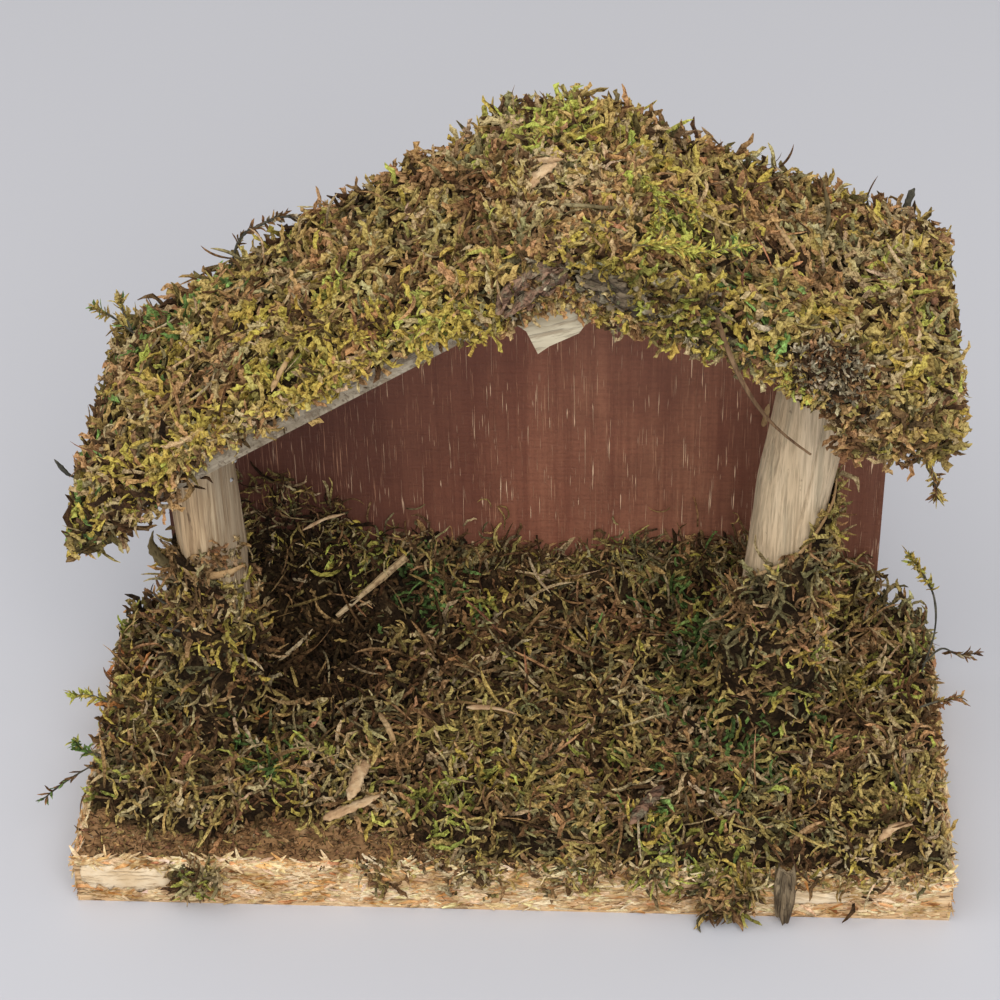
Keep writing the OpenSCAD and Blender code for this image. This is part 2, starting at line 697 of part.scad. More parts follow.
function wrap_radius(post, s, turn, w, mound_r, thin) =
    mix(mound_r, post_radius(post, s, turn) + moss_gap + thin * (1 - 0.5 * pow(w, 4)), pow(w, 0.5))
    + tuft_h * 0.85 * clamp(3 * w - 0.6, 0, 1) * clamp(4 - 4 * w, 0, 1)
    * cushions(wrap_cushions * turn / 360, 3.4 * w, wrap_cushions);

module post_wrap(post, mound_r, thin, top_share) {
    low_share = (moss_gap - joint_gap) / (roof_under(post[1][0]) - base_t);
    ring_solid(post_sides, 2 * wrap_steps + 2,
        function (i, j) let (
            turn = 360 * i / post_sides,
            w = min(j, 2 * wrap_steps + 1 - j) / wrap_steps,
            s = mix(low_share, top_share(turn), w),
            inner = post_skin(post, s, turn, moss_gap),
            r = wrap_radius(post, s, turn, w, mound_r - moss_gap / 2, thin),
            c = mix(post[0], post_axis(post, s), w))
            j <= wrap_steps ? [c[0] + r * cos(turn), c[1] + r * sin(turn), inner[2]] : inner);
}

module left_post_moss() {
    color("olivedrab")
        post_wrap(left_post_shape, left_mound_r, tuft_h,
            function (turn) 0.66 - 0.3 * pow(max(0, cos(turn)), 1.5) + 0.03 * sin(2 * turn + 50)
                + 0.03 * scatter(turn, 3));
}

module right_post_moss() {
    color("yellowgreen")
        post_wrap(right_post_shape, right_mound_r, tuft_h * 1.2,
            function (turn) 0.49 + 0.14 * cos(turn + 8) + 0.02 * sin(2 * turn) + 0.03 * scatter(turn, 5));
}

// Clumps that hang on an upright face and look to the front
module face_clump(nu, nv, low_x, high_x, low_z, high_z, face_y, thick) {
    function place_x(i) = mix(low_x, high_x, i / nu);
    function place_z(i, j) = mix(low_z(place_x(i)), high_z(place_x(i)), j / nv);
    function full(i, j) = 0.35 + 0.65 * sin(180 * i / nu) * sin(180 * j / nv)
        + (i > 0 && i < nu && j > 0 && j < nv ? 0.25 * cushions(i * 0.31, j * 0.31) : 0);
    sheet_solid(nu, nv,
        function (i, j) [place_x(i), face_y - thick * full(i, j), place_z(i, j)],
        function (i, j) [place_x(i), face_y, place_z(i, j)]);
}

// Two clumps that hang over the base's front edge: place along the edge, width and lowest point
edge_moss_w = 12;
edge_moss_t = 3;
edge_moss_shares = [[-0.36, 0.75, 0.3], [0.245, 1, 0.02]];

module edge_moss() {
    color("olivedrab")
        for (clump = edge_moss_shares) {
            middle_x = clump[0] * base_w;
            half = clump[1] * edge_moss_w / 2;
            face_clump(8, 7, middle_x - half, middle_x + half,
                function (x) base_t * mix(0.6, clump[2], cos(90 * (x - middle_x) / half)),
                function (x) base_t - base_wear * 0.5,
                -base_d / 2 - moss_gap, edge_moss_t * (0.7 + 0.3 * clump[1]));
        }
}

// Moss stuck to the lower left of the wall's inner face, above the pile on the ground
wall_moss_w = 40;
wall_moss_h = 20;
wall_moss_t = 4;

function pile_crest(x) = mat_height(back_mat, x, wall_y - moss_gap) + moss_gap + tuft_h / 3;

module wall_moss() {
    low_x = -wall_w / 2 + moss_gap;
    color("darkolivegreen")
        face_clump(14, 7, low_x, low_x + wall_moss_w, function (x) pile_crest(x),
            function (x) pile_crest(x)
                + wall_moss_h * (0.45 + 0.55 * sin(30 + 150 * (x - low_x) / wall_moss_w)),
            wall_y - moss_gap, wall_moss_t);
}

// Grey lichen glued over the roof's front edge, above the right post
lichen_w = 15;
lichen_hang = 3.2;
lichen_t = 3;

module roof_edge_lichen() {
    low_x = right_head[0] - lichen_w * 0.55;
    color("darkseagreen")
        face_clump(9, 6, low_x, low_x + lichen_w,
            function (x) roof_under(x) - lichen_hang * (0.4 + 0.6 * sin(180 * (x - low_x) / lichen_w)),
            function (x) roof_over(x) - front_droop * 0.12 - moss_gap,
            -roof_front - moss_gap, lichen_t);
}

// A dry stick that leans on the pile, lifted until it just clears the moss
twig_gap = 0.4;
stick_share = -0.183;
stick_back = 7.5;
stick_heading = 30;
stick_slope = 30;

module dry_stick() {
    sides = 7;
    rings = 6;
    middle_y = wall_y - stick_back;
    way = [cos(stick_slope) * cos(stick_heading), cos(stick_slope) * sin(stick_heading), sin(stick_slope)];
    side = [-sin(stick_heading), cos(stick_heading), 0];
    up = cross(way, side);
    function middle(s) = [stick_share * base_w, middle_y, 0] + way * stick_l * (s - 0.5);
    lift = max([for (k = [0:24]) let (p = middle(k / 24)) mat_height(back_mat, p[0], p[1]) - p[2]])
        + twig_gap + stick_d / 2;
    color("peru")
        rod_solid(sides, rings,
            function (j, i) let (
                s = j / rings,
                r = stick_d / 2 * (0.5 + 0.5 * s + 0.12 * sin(700 * s)),
                turn = 360 * i / sides)
                middle(s) + [0, 0, lift] + r * (cos(turn) * side + sin(turn) * up));
}

// A long stem held by the moss at the roof's front edge, hanging before the right post
stem_tilt = 31;
stem_bow = 3.4;
stem_off = 3.5;

module long_stem() {
    sides = 6;
    rings = 10;
    top_x = ridge_x + right_bark_l * (right_along_share + 0.5) * cos(right_angle) + stem_off;
    top_y = front_rim_y(top_x) - moss_gap - stem_d / 2;
    top_z = roof_over(top_x) + rim_t * 1.7;
    way = [sin(stem_tilt), 0, -cos(stem_tilt)];
    side = [cos(stem_tilt), 0, sin(stem_tilt)];
    color("sienna")
        rod_solid(sides, rings,
            function (j, i) let (
                s = j / rings,
                r = stem_d / 2 * (0.75 + 0.25 * cos(180 * s)),
                turn = 360 * i / sides)
                [top_x, top_y, top_z] + way * stem_l * s - [0, stem_bow, 0] * sin(165 * s)
                - side * stem_bow * 0.65 * sin(180 * s) + r * (cos(turn) * side - sin(turn) * [0, 1, 0]));
}

// A strip of bark against the front edge of the base
chip_bark_w = 4.8;
chip_bark_l = 15.5;
chip_bark_share = 0.311;

module edge_bark_chip() {
    color("dimgray")
        translate([chip_bark_share * base_w, -base_d / 2 - moss_gap, base_t * 0.75])
            rotate([0, 90, 0])
                bark_slab(chip_bark_l, chip_bark_w, 2.6, 0, bark_rag * 0.4, 0.4);
}

// Flat chips of wood on the ground moss: place shares of the base, then length, width and thickness as shares
// of the largest chip's length, and the way that each one points
chip_l = 11;
chip_shares = [[-0.18, -0.3, 1, 0.48, 0.09, 50], [-0.02, -0.06, 0.8, 0.24, 0.09, -10],
    [0.155, -0.33, 0.9, 0.42, 0.09, 55], [0.42, -0.35, 0.66, 0.24, 0.08, 25],
    [-0.28, -0.23, 0.7, 0.24, 0.09, 82]];
chip_outline_shares = [[-0.5, -0.34], [-0.3, -0.42], [0.1, -0.5], [0.5, 0.2], [0.26, 0.34], [-0.1, 0.3],
    [-0.46, 0.5]];

function turned(p, a) = [p[0] * cos(a) - p[1] * sin(a), p[0] * sin(a) + p[1] * cos(a)];
function chip_points(chip) = [for (p = chip_outline_shares)
    turned([p[0] * chip[2] * chip_l, p[1] * chip[3] * chip_l], chip[5])];

module wood_chips() {
    color("burlywood")
        for (chip = chip_shares) {
            x = chip[0] * base_w;
            y = chip[1] * base_d;
            points = chip_points(chip);
            top = max([for (a = points, b = points, r = [0.2:0.2:1])
                mat_height(front_mat, x + mix(a[0], b[0], 0.45) * r, y + mix(a[1], b[1], 0.45) * r)]);
            translate([x, y, top + twig_gap])
                linear_extrude(height = chip[4] * chip_l)
                    polygon(points);
        }
}

base_board();
back_wall();
left_post();
right_post();
left_roof_panel();
right_roof_panel();
base_nails();
wall_brads();
roof_brads();
wall_glue_beads();
gable_bark_left();
gable_bark_right();
gable_bark_flake();
roof_moss_left();
roof_moss_right();
ridge_moss();
ground_moss_front();
ground_moss_back();
edge_moss();
wall_moss();
left_post_moss();
right_post_moss();
roof_edge_lichen();
dry_stick();
long_stem();
edge_bark_chip();
wood_chips();
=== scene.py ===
import math
import bpy
import numpy as np
from mathutils import Matrix, Vector


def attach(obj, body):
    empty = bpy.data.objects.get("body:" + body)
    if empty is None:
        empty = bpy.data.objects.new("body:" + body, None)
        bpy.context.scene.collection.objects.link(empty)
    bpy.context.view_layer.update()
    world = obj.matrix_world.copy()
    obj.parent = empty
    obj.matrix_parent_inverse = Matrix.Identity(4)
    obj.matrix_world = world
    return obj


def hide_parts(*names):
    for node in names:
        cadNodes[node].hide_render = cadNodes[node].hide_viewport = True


# Rustic crib stable: board base, stained ply wall, two branch posts and a pitched roof under glued moss.
# Sizes are written in millimetres and turned into metres where a mesh is made.
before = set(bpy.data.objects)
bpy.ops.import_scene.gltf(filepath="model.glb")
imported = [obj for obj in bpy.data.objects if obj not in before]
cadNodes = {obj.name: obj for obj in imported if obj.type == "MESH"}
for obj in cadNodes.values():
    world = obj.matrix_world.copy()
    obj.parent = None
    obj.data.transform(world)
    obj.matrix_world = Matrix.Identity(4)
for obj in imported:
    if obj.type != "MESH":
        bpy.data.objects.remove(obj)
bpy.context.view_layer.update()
mm = 0.001
print("stable: frame loaded with", len(cadNodes), "nodes")

# The solid's own sizes, which the beds and posts below repeat
stable = {
    "baseWidth": 180, "baseDepth": 74, "baseThick": 12,
    "wallFront": 37, "backFace": 40,
    "ridgeX": 10.6, "ridgeZ": 142, "leftX": -80, "leftZ": 83.4, "rightX": 81.4, "rightZ": 110,
    "boardThick": 4, "roofFront": -16.4,
}


# Underside of the roof: one straight slope on either side of the ridge
def roofUnder(x):
    s = stable
    left = s["ridgeZ"] - (s["ridgeX"] - x) * (s["ridgeZ"] - s["leftZ"]) / (s["ridgeX"] - s["leftX"])
    right = s["ridgeZ"] - (x - s["ridgeX"]) * (s["ridgeZ"] - s["rightZ"]) / (s["rightX"] - s["ridgeX"])
    return np.where(x <= s["ridgeX"], left, right)


# Upper face of the roof boards: the underside plus the board's thickness measured upright
def roofOver(x):
    s = stable
    leftAngle = math.atan((s["ridgeZ"] - s["leftZ"]) / (s["ridgeX"] - s["leftX"]))
    rightAngle = math.atan((s["ridgeZ"] - s["rightZ"]) / (s["rightX"] - s["ridgeX"]))
    rise = np.where(x <= s["ridgeX"], 1 / math.cos(leftAngle), 1 / math.cos(rightAngle))
    return roofUnder(x) + s["boardThick"] * rise


# Camera, floor and lamps
view = {
    "focalPixels": 2900, "framePixels": 1000, "sensor": 36,
    "pitch": 39.49, "yaw": -3.65, "roll": -1.38, "place": (25.81, -444.59, 446.35),
}


def placeCamera(v):
    pitch, yaw, roll = (math.radians(v[key]) for key in ("pitch", "yaw", "roll"))
    forward = Vector((math.sin(yaw) * math.cos(pitch), math.cos(yaw) * math.cos(pitch), -math.sin(pitch)))
    level = Vector((math.cos(yaw), -math.sin(yaw), 0))
    upright = level.cross(forward)
    across = level * math.cos(roll) + upright * math.sin(roll)
    upward = upright * math.cos(roll) - level * math.sin(roll)
    lens = bpy.data.cameras.new("stableCamera")
    lens.sensor_width = v["sensor"]
    lens.lens = v["focalPixels"] / v["framePixels"] * v["sensor"]
    camera = bpy.data.objects.new("stableCamera", lens)
    turned = Matrix((across, upward, -forward)).transposed().to_4x4()
    turned.translation = Vector(v["place"]) * mm
    camera.matrix_world = turned
    bpy.context.scene.collection.objects.link(camera)
    bpy.context.scene.camera = camera


placeCamera(view)

studio = {
    "floorShade": (199, 199, 204), "floorHalf": 3.0, "skyStrength": 0.55,
    "keyPlace": (0.25, -0.95, 1.0), "keySize": 1.0, "keyPower": 13,
    "fillPlace": (-0.7, -0.5, 1.2), "fillSize": 1.2, "fillPower": 6,
}


# A colour as it looks on a screen, 0 to 255, turned into the linear value that shaders use
def tone(red, green, blue):
    seen = np.array([red, green, blue], float) / 255
    linear = np.where(seen <= 0.04045, seen / 12.92, ((seen + 0.055) / 1.055) ** 2.4)
    return tuple(float(value) for value in linear) + (1.0,)


def addLamp(name, place, size, power):
    lamp = bpy.data.lights.new(name, "AREA")
    lamp.size = size
    lamp.energy = power
    holder = bpy.data.objects.new(name, lamp)
    holder.location = place
    holder.rotation_euler = (Vector((0, 0, 0.06)) - Vector(place)).to_track_quat("-Z", "Y").to_euler()
    bpy.context.scene.collection.objects.link(holder)


def buildStudio(s):
    half = s["floorHalf"]
    mesh = bpy.data.meshes.new("paleFloor")
    corners = [(-half, -half, 0), (half, -half, 0), (half, half, 0), (-half, half, 0)]
    mesh.from_pydata(corners, [], [(0, 1, 2, 3)])
    floor = bpy.data.objects.new("paleFloor", mesh)
    bpy.context.scene.collection.objects.link(floor)
    paint = bpy.data.materials.new("paleFloorPaint")
    paint.use_nodes = True
    shader = paint.node_tree.nodes["Principled BSDF"]
    shader.inputs["Base Color"].default_value = tone(*s["floorShade"])
    shader.inputs["Roughness"].default_value = 0.7
    shader.inputs["Specular IOR Level"].default_value = 0.2
    mesh.materials.append(paint)
    world = bpy.data.worlds.new("softSky")
    world.use_nodes = True
    sky = world.node_tree.nodes["Background"]
    sky.inputs["Color"].default_value = (1, 1, 1, 1)
    sky.inputs["Strength"].default_value = s["skyStrength"]
    bpy.context.scene.world = world
    addLamp("keyLamp", s["keyPlace"], s["keySize"], s["keyPower"])
    addLamp("fillLamp", s["fillPlace"], s["fillSize"], s["fillPower"])
    bpy.context.scene.view_settings.view_transform = "Standard"


buildStudio(studio)
print("stable: camera, floor and lamps placed")


# Building blocks for materials: an input is a value or another node's output
def addNode(tree, kind, inputs=None, **settings):
    node = tree.nodes.new(kind)
    for key, value in settings.items():
        setattr(node, key, value)
    for key, value in (inputs or {}).items():
        if isinstance(value, bpy.types.NodeSocket):
            tree.links.new(value, node.inputs[key])
        else:
            node.inputs[key].default_value = value
    return node


def startPaint(name):
    paint = bpy.data.materials.new(name)
    paint.use_nodes = True
    tree = paint.node_tree
    return paint, tree, tree.nodes["Principled BSDF"]


# Object coordinates stretched by three scales, in waves per metre
def stretched(tree, scales, shift=(0, 0, 0), turn=(0, 0, 0)):
    scales = scales if isinstance(scales, tuple) else (scales,) * 3
    place = addNode(tree, "ShaderNodeTexCoord").outputs["Object"]
    angles = tuple(math.radians(a) for a in turn)
    turned = addNode(tree, "ShaderNodeMapping", {"Vector": place, "Rotation": angles})
    inputs = {"Vector": turned.outputs[0], "Scale": scales, "Location": shift}
    return addNode(tree, "ShaderNodeMapping", inputs).outputs[0]


def noiseOf(tree, vector, detail=3.0, rough=0.6, wander=0.0):
    inputs = {"Vector": vector, "Scale": 1.0, "Detail": detail, "Roughness": rough, "Distortion": wander}
    return addNode(tree, "ShaderNodeTexNoise", inputs).outputs["Fac"]


# Distance to the nearest of many scattered points, for cells
def cellsOf(tree, vector, feature):
    inputs = {"Vector": vector, "Scale": 1.0, "Randomness": 1.0}
    return addNode(tree, "ShaderNodeTexVoronoi", inputs, feature=feature).outputs["Distance"]


# A value between two limits, stretched to 0 and 1
def spread(tree, value, low, high):
    inputs = {"Value": value, "From Min": low, "From Max": high}
    return addNode(tree, "ShaderNodeMapRange", inputs).outputs[0]


def sums(tree, kind, first, second):
    return addNode(tree, "ShaderNodeMath", {0: first, 1: second}, operation=kind).outputs[0]


def rampOf(tree, value, stops):
    node = addNode(tree, "ShaderNodeValToRGB", {"Fac": value})
    band = node.color_ramp
    while len(band.elements) < len(stops):
        band.elements.new(0.5)
    for element, (place, shade) in zip(band.elements, stops):
        element.position = place
        element.color = tone(*shade)
    return node.outputs["Color"]


def blendOf(tree, share, first, second, way="MIX"):
    node = addNode(tree, "ShaderNodeMix", data_type="RGBA", blend_type=way)
    for index, value in ((0, share), (6, first), (7, second)):
        if isinstance(value, bpy.types.NodeSocket):
            tree.links.new(value, node.inputs[index])
        else:
            node.inputs[index].default_value = value
    return node.outputs[2]


def bumpOf(tree, height, depth, strength=1.0, below=None):
    inputs = {"Height": height, "Distance": depth * mm, "Strength": strength}
    if below is not None:
        inputs["Normal"] = below
    return addNode(tree, "ShaderNodeBump", inputs).outputs[0]


def finishPaint(tree, shader, colour, normal, roughness, gloss=0.3):
    tree.links.new(colour, shader.inputs["Base Color"])
    tree.links.new(normal, shader.inputs["Normal"])
    if isinstance(roughness, bpy.types.NodeSocket):
        tree.links.new(roughness, shader.inputs["Roughness"])
    else:
        shader.inputs["Roughness"].default_value = roughness
    shader.inputs["Specular IOR Level"].default_value = gloss


# Lowest layer of a paint: a noise with its scales in waves per metre runs through the shades, and lifts the
# surface by its height in millimetres. One number for the scales stands for all three.
def baseCoat(scales, shades, height=0.0, **more):
    stops = list(zip(np.linspace(0.3, 0.7, len(shades)).tolist(), shades))
    return dict(more, scales=scales, shades=stops, height=height)


# Layer over it: a noise cut between two limits lays its shade over the colour by its share, and lifts or
# sinks the surface by its height
def coat(scales, limits, share, shade, height=0.0, **more):
    return dict(more, scales=scales, limits=limits, share=share, shade=shade, height=height)


# A paint made of a base coat and layers
def layerPaint(name, base, layers, roughness=0.75, gloss=0.3):
    paint, tree, shader = startPaint(name)
    turn = base.get("turn", (0, 0, 0))
    vector = stretched(tree, base["scales"], (0.4, 1.3, 2.1), turn)
    ground = noiseOf(tree, vector, 4.0, 0.6, base.get("wander", 0.2))
    colour = rampOf(tree, ground, base["shades"])
    height = sums(tree, "MULTIPLY", ground, base.get("height", 0.0))
    for number, layer in enumerate(layers):
        shift = (number * 1.7, number * 0.9, number * 2.3)
        vector = stretched(tree, layer["scales"], shift, layer.get("turn", turn))
        if layer.get("cells"):
            raw = cellsOf(tree, vector, layer["cells"])
        else:
            raw = noiseOf(tree, vector, layer.get("detail", 3.0), 0.6, layer.get("wander", 0.0))
        mask = spread(tree, raw, *layer["limits"])
        if "within" in layer:
            axis, low, high = layer["within"]
            place = addNode(tree, "ShaderNodeTexCoord").outputs["Object"]
            reach = addNode(tree, "ShaderNodeSeparateXYZ", {"Vector": place}).outputs[axis]
            mask = sums(tree, "MULTIPLY", mask, spread(tree, reach, low * mm, high * mm))
        colour = blendOf(tree, sums(tree, "MULTIPLY", mask, layer["share"]), colour, tone(*layer["shade"]))
        if layer.get("height"):
            height = sums(tree, "ADD", height, sums(tree, "MULTIPLY", mask, layer["height"]))
    finishPaint(tree, shader, colour, bumpOf(tree, height, 1.0), roughness, gloss)
    return paint


# A carried-over solid keeps its shape and gets a finish in place of its plain colour
def refinish(node, paint):
    mesh = cadNodes[node].data
    mesh.materials.clear()
    mesh.materials.append(paint)


# Turns all faces round if the closed shape's volume, the sum of its faces' signed wedges, comes out below
# zero
def outward(points, faces):
    p = points[faces]
    wedges = sum((p[:, 0] * np.cross(p[:, k], p[:, k + 1])).sum() for k in range(1, faces.shape[1] - 1))
    return faces if wedges > 0 else faces[:, ::-1]


def makePiece(name, points, faces, paint, replaced=(), tints=None, smooth=True):
    points = np.asarray(points, np.float32).reshape(-1, 3) * mm
    faces = outward(points, np.asarray(faces, np.int32))
    corners = faces.shape[1]
    mesh = bpy.data.meshes.new(name)
    mesh.vertices.add(len(points))
    mesh.vertices.foreach_set("co", points.ravel())
    mesh.loops.add(faces.size)
    mesh.loops.foreach_set("vertex_index", faces.ravel())
    mesh.polygons.add(len(faces))
    mesh.polygons.foreach_set("loop_start", np.arange(0, faces.size, corners, dtype=np.int32))
    mesh.polygons.foreach_set("use_smooth", np.full(len(faces), smooth, bool))
    mesh.update(calc_edges=True)
    if tints is not None:
        shades = np.asarray(tints, np.float32).reshape(-1, 3)
        colours = np.concatenate([shades, np.ones((len(points), 1), np.float32)], 1)
        layer = mesh.color_attributes.new("tint", "FLOAT_COLOR", "POINT")
        layer.data.foreach_set("color", colours.ravel())
    mesh.materials.append(paint)
    piece = bpy.data.objects.new(name, mesh)
    bpy.context.scene.collection.objects.link(piece)
    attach(piece, "root")
    if replaced:
        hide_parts(*replaced)
    return piece


# Quads of a grid of rows and columns, with either way closed on itself if asked
def gridFaces(rows, cols, closeRows=False, closeCols=False):
    i = np.arange(rows if closeRows else rows - 1)[:, None]
    j = np.arange(cols if closeCols else cols - 1)[None, :]
    down, right = (i + 1) % rows, (j + 1) % cols
    return np.stack([i * cols + j, down * cols + j, down * cols + right, i * cols + right], -1).reshape(-1, 4)


# Smooth patches: sine waves in scattered directions added up, between about -1 and 1
def patches(points, size, seed, waves=7):
    rng = np.random.default_rng(seed)
    ways = rng.normal(size=(waves, 3))
    pace = 2 * math.pi / size / np.linalg.norm(ways, axis=1, keepdims=True)
    ways *= pace * rng.uniform(0.6, 1.6, (waves, 1))
    return np.sin(points @ ways.T + rng.uniform(0, 2 * math.pi, waves)).sum(-1) / math.sqrt(waves) * 0.8


def unit(vectors):
    return vectors / np.maximum(np.linalg.norm(vectors, axis=-1, keepdims=True), 1e-9)


# Places and outward directions scattered evenly over a solid's faces, where the test on them holds
def scatterOn(node, count, rng, test):
    mesh = cadNodes[node].data
    mesh.calc_loop_triangles()
    corners = np.empty(len(mesh.vertices) * 3)
    mesh.vertices.foreach_get("co", corners)
    threes = np.empty(len(mesh.loop_triangles) * 3, np.int32)
    mesh.loop_triangles.foreach_get("vertices", threes)
    triangles = (corners.reshape(-1, 3) / mm)[threes.reshape(-1, 3)]
    normals = np.cross(triangles[:, 1] - triangles[:, 0], triangles[:, 2] - triangles[:, 0])
    areas = np.linalg.norm(normals, axis=1)
    normals = unit(normals)
    weights = areas * test(triangles.mean(1), normals)
    chosen = rng.choice(len(triangles), count, p=weights / weights.sum())
    a, b = np.sqrt(rng.random(count))[:, None], rng.random(count)[:, None]
    t = triangles[chosen]
    return t[:, 0] * (1 - a) + t[:, 1] * a * (1 - b) + t[:, 2] * a * b, normals[chosen]


print("stable: building blocks ready")

# Back wall: stained plywood with upright grain, pale pores where the stain didn't take, painted shade to both
# sides
wallFinish = {
    "base": baseCoat((30, 30, 12), [(122, 73, 54), (151, 96, 73), (172, 116, 88)]),
    "layers": [
        coat((70, 70, 60), (0.46, 0.7), 0.35, (104, 72, 54)),
        coat((160, 160, 6), (0.45, 0.65), 0.4, (108, 58, 44), wander=0.4),
        coat((1100, 1100, 22), (0.42, 0.68), 0.45, (112, 64, 48), -0.05),
        coat((120, 120, 1500), (0.45, 0.65), 0.24, (104, 60, 46), -0.03),
        coat(1300, (0.45, 0.7), 0.3, (96, 56, 44), -0.03),
        coat((26, 26, 30), (0.5, 0.72), 0.5, (112, 64, 52)),
        # Painted shade: the wall darker towards its left, under the roof's low left slope
        coat(30, (0.1, 0.3), 0.8, (70, 38, 31), within=(0, 2, -44)),
        # Painted shade: the wall darker towards its right end
        coat(30, (0.1, 0.3), 0.5, (88, 52, 40), within=(0, 30, 70)),
        coat((3900, 3900, 95), (0.745, 0.785), 1.0, (242, 204, 168), -0.06, detail=0.0, wander=1.1,
             within=(0, -85, 10)),
        coat((5200, 5200, 110), (0.71, 0.77), 0.5, (206, 154, 120), -0.05, detail=0.0, wander=1.1),
    ],
}
refinish("back_wall", layerPaint("stainedPlyPaintedShade", wallFinish["base"], wallFinish["layers"], 0.55, 0.35))

# Roof boards: thin weathered wood, its grain along each slope
boardFinish = {
    "base": baseCoat((12, 90, 90), [(126, 112, 92), (156, 143, 122), (176, 164, 144)]),
    "layers": [
        coat((18, 1100, 1100), (0.45, 0.65), 0.5, (118, 104, 86), -0.08),
        coat((40, 700, 700), (0.62, 0.7), 0.7, (92, 78, 62), -0.15),
        coat(300, (0.58, 0.72), 0.4, (198, 188, 170)),
        coat(240, (0.48, 0.62), 0.5, (112, 100, 80), -0.05),
        coat(800, (0.5, 0.62), 0.6, (124, 106, 84), -0.25),
    ],
}
for node, slope in (("left_roof_panel", 32.9), ("right_roof_panel", -24.3)):
    turned = dict(boardFinish["base"], turn=(0, slope, 0))
    refinish(node, layerPaint(node.replace("_", "") + "Paint", turned, boardFinish["layers"], 0.8, 0.2))

# Base board: raw chipboard. Flat flakes in many straw tones with dark gaps, and a brown stain over its upper
# face.
baseFinish = {
    "base": baseCoat((60, 60, 120), [(200, 162, 116), (222, 186, 140), (238, 208, 166)]),
    "layers": [
        coat((260, 260, 800), (0.3, 0.75), 0.45, (178, 134, 86), 0.2, cells="F1"),
        coat((260, 260, 1300), (0.56, 0.66), 0.8, (128, 92, 54), -0.4),
        coat((500, 500, 1700), (0.6, 0.7), 0.6, (240, 218, 180), 0.15),
        coat((120, 120, 40), (0.25, 0.4), 0.85, (138, 100, 62), within=(2, 11.0, 11.9)),
        coat((500, 500, 200), (0.45, 0.6), 0.6, (84, 58, 34), within=(2, 11.4, 12.0)),
    ],
}
refinish("base_board", layerPaint("chipboard", baseFinish["base"], baseFinish["layers"], 0.85, 0.2))

# Bark, nails, glue, stick, stem and chips
smallFinishes = {
    "gable_bark_left": ("redBark",
                        baseCoat((60, 120, 160), [(96, 70, 56), (136, 104, 83), (164, 133, 109)], 0.5), [
        coat((110, 500, 700), (0.5, 0.62), 0.8, (58, 38, 32), -0.5, turn=(0, 38, 0)),
        coat(420, (0.5, 0.6), 0.7, (128, 122, 98), 0.15),
        coat(900, (0.52, 0.62), 0.5, (70, 56, 42), -0.3)]),
    "gable_bark_right": ("greyBark",
                         baseCoat((70, 120, 160), [(82, 69, 54), (122, 107, 86), (150, 136, 112)], 0.5), [
        coat((110, 500, 700), (0.5, 0.62), 0.8, (52, 44, 38), -0.5, turn=(0, -24, 0)),
        coat(260, (0.52, 0.6), 0.7, (158, 149, 124), 0.2),
        coat(420, (0.6, 0.68), 0.6, (118, 126, 84), 0.2)]),
    "gable_bark_flake": ("paleBark",
                         baseCoat((60, 200, 200), [(150, 136, 110), (186, 174, 148), (206, 195, 168)], 0.3), [
        coat((120, 900, 900), (0.5, 0.64), 0.6, (138, 118, 94), -0.2, turn=(0, 20, 0))]),
    "edge_bark_chip": ("chipBark",
                       baseCoat((160, 160, 60), [(92, 76, 56), (134, 116, 90), (160, 144, 116)], 0.5), [
        coat((900, 900, 90), (0.48, 0.62), 0.8, (58, 46, 34), -0.4)]),
    "base_nails": ("nailSteel", baseCoat(400, [(150, 148, 144), (190, 189, 186)]), [
        coat(900, (0.6, 0.7), 0.6, (112, 84, 62), 0.03)]),
    "wall_glue_beads": ("hotGlue", baseCoat((60, 300, 300), [(196, 182, 140), (222, 212, 178)], 0.4), [
        coat(300, (0.6, 0.7), 0.4, (170, 148, 100), 0.2)]),
    "dry_stick": ("dryStick", baseCoat(120, [(150, 120, 84), (184, 156, 116), (208, 184, 146)], 0.2), [
        coat((150, 900, 900), (0.5, 0.64), 0.7, (96, 70, 48), -0.15, turn=(0, 30, 30))]),
    "long_stem": ("dryStem", baseCoat((200, 200, 80), [(88, 66, 46), (118, 92, 66), (144, 118, 88)], 0.2), [
        coat((1200, 1200, 120), (0.5, 0.64), 0.6, (66, 44, 30), -0.1)]),
    "wood_chips": ("woodChips",
                   baseCoat((160, 160, 300), [(140, 104, 70), (190, 158, 116), (214, 188, 150)], 0.2), [
        coat((300, 1200, 1200), (0.5, 0.64), 0.6, (112, 80, 52), -0.15, turn=(0, 0, 40))]),
}
surfaces = {"smooth": (0.35, 0.5), "rough": (0.85, 0.2)}
for node, (paintName, ground, layers) in smallFinishes.items():
    surface = surfaces["smooth" if paintName in ("nailSteel", "hotGlue") else "rough"]
    paint = layerPaint(paintName, ground, layers, *surface)
    if paintName == "nailSteel":
        paint.node_tree.nodes["Principled BSDF"].inputs["Metallic"].default_value = 1.0
        for other in ("wall_brads", "roof_brads"):
            refinish(other, paint)
    refinish(node, paint)
print("stable: boards, bark and small pieces finished")

# Debarked branch posts
posts = {
    "left": {"foot": (-64, 1.5), "head": (-62.2, 1.0), "thick": 13.8, "bow": 0.09, "turn": 40, "fibre": 0.08,
             "seed": 3},
    "right": {"foot": (51.5, 7), "head": (61.4, 4.5), "thick": 14.8, "bow": -0.09, "turn": 160, "fibre": 0.07,
              "seed": 8},
    "steps": 170, "sides": 132, "gap": 0.1,
    "waves": ((5, 1.6), (9, 1.0), (15, 0.8), (23, 0.6), (37, 0.5)), "waveShare": 0.6,
    "crackDeep": 0.7, "crackHalf": 0.035,
}


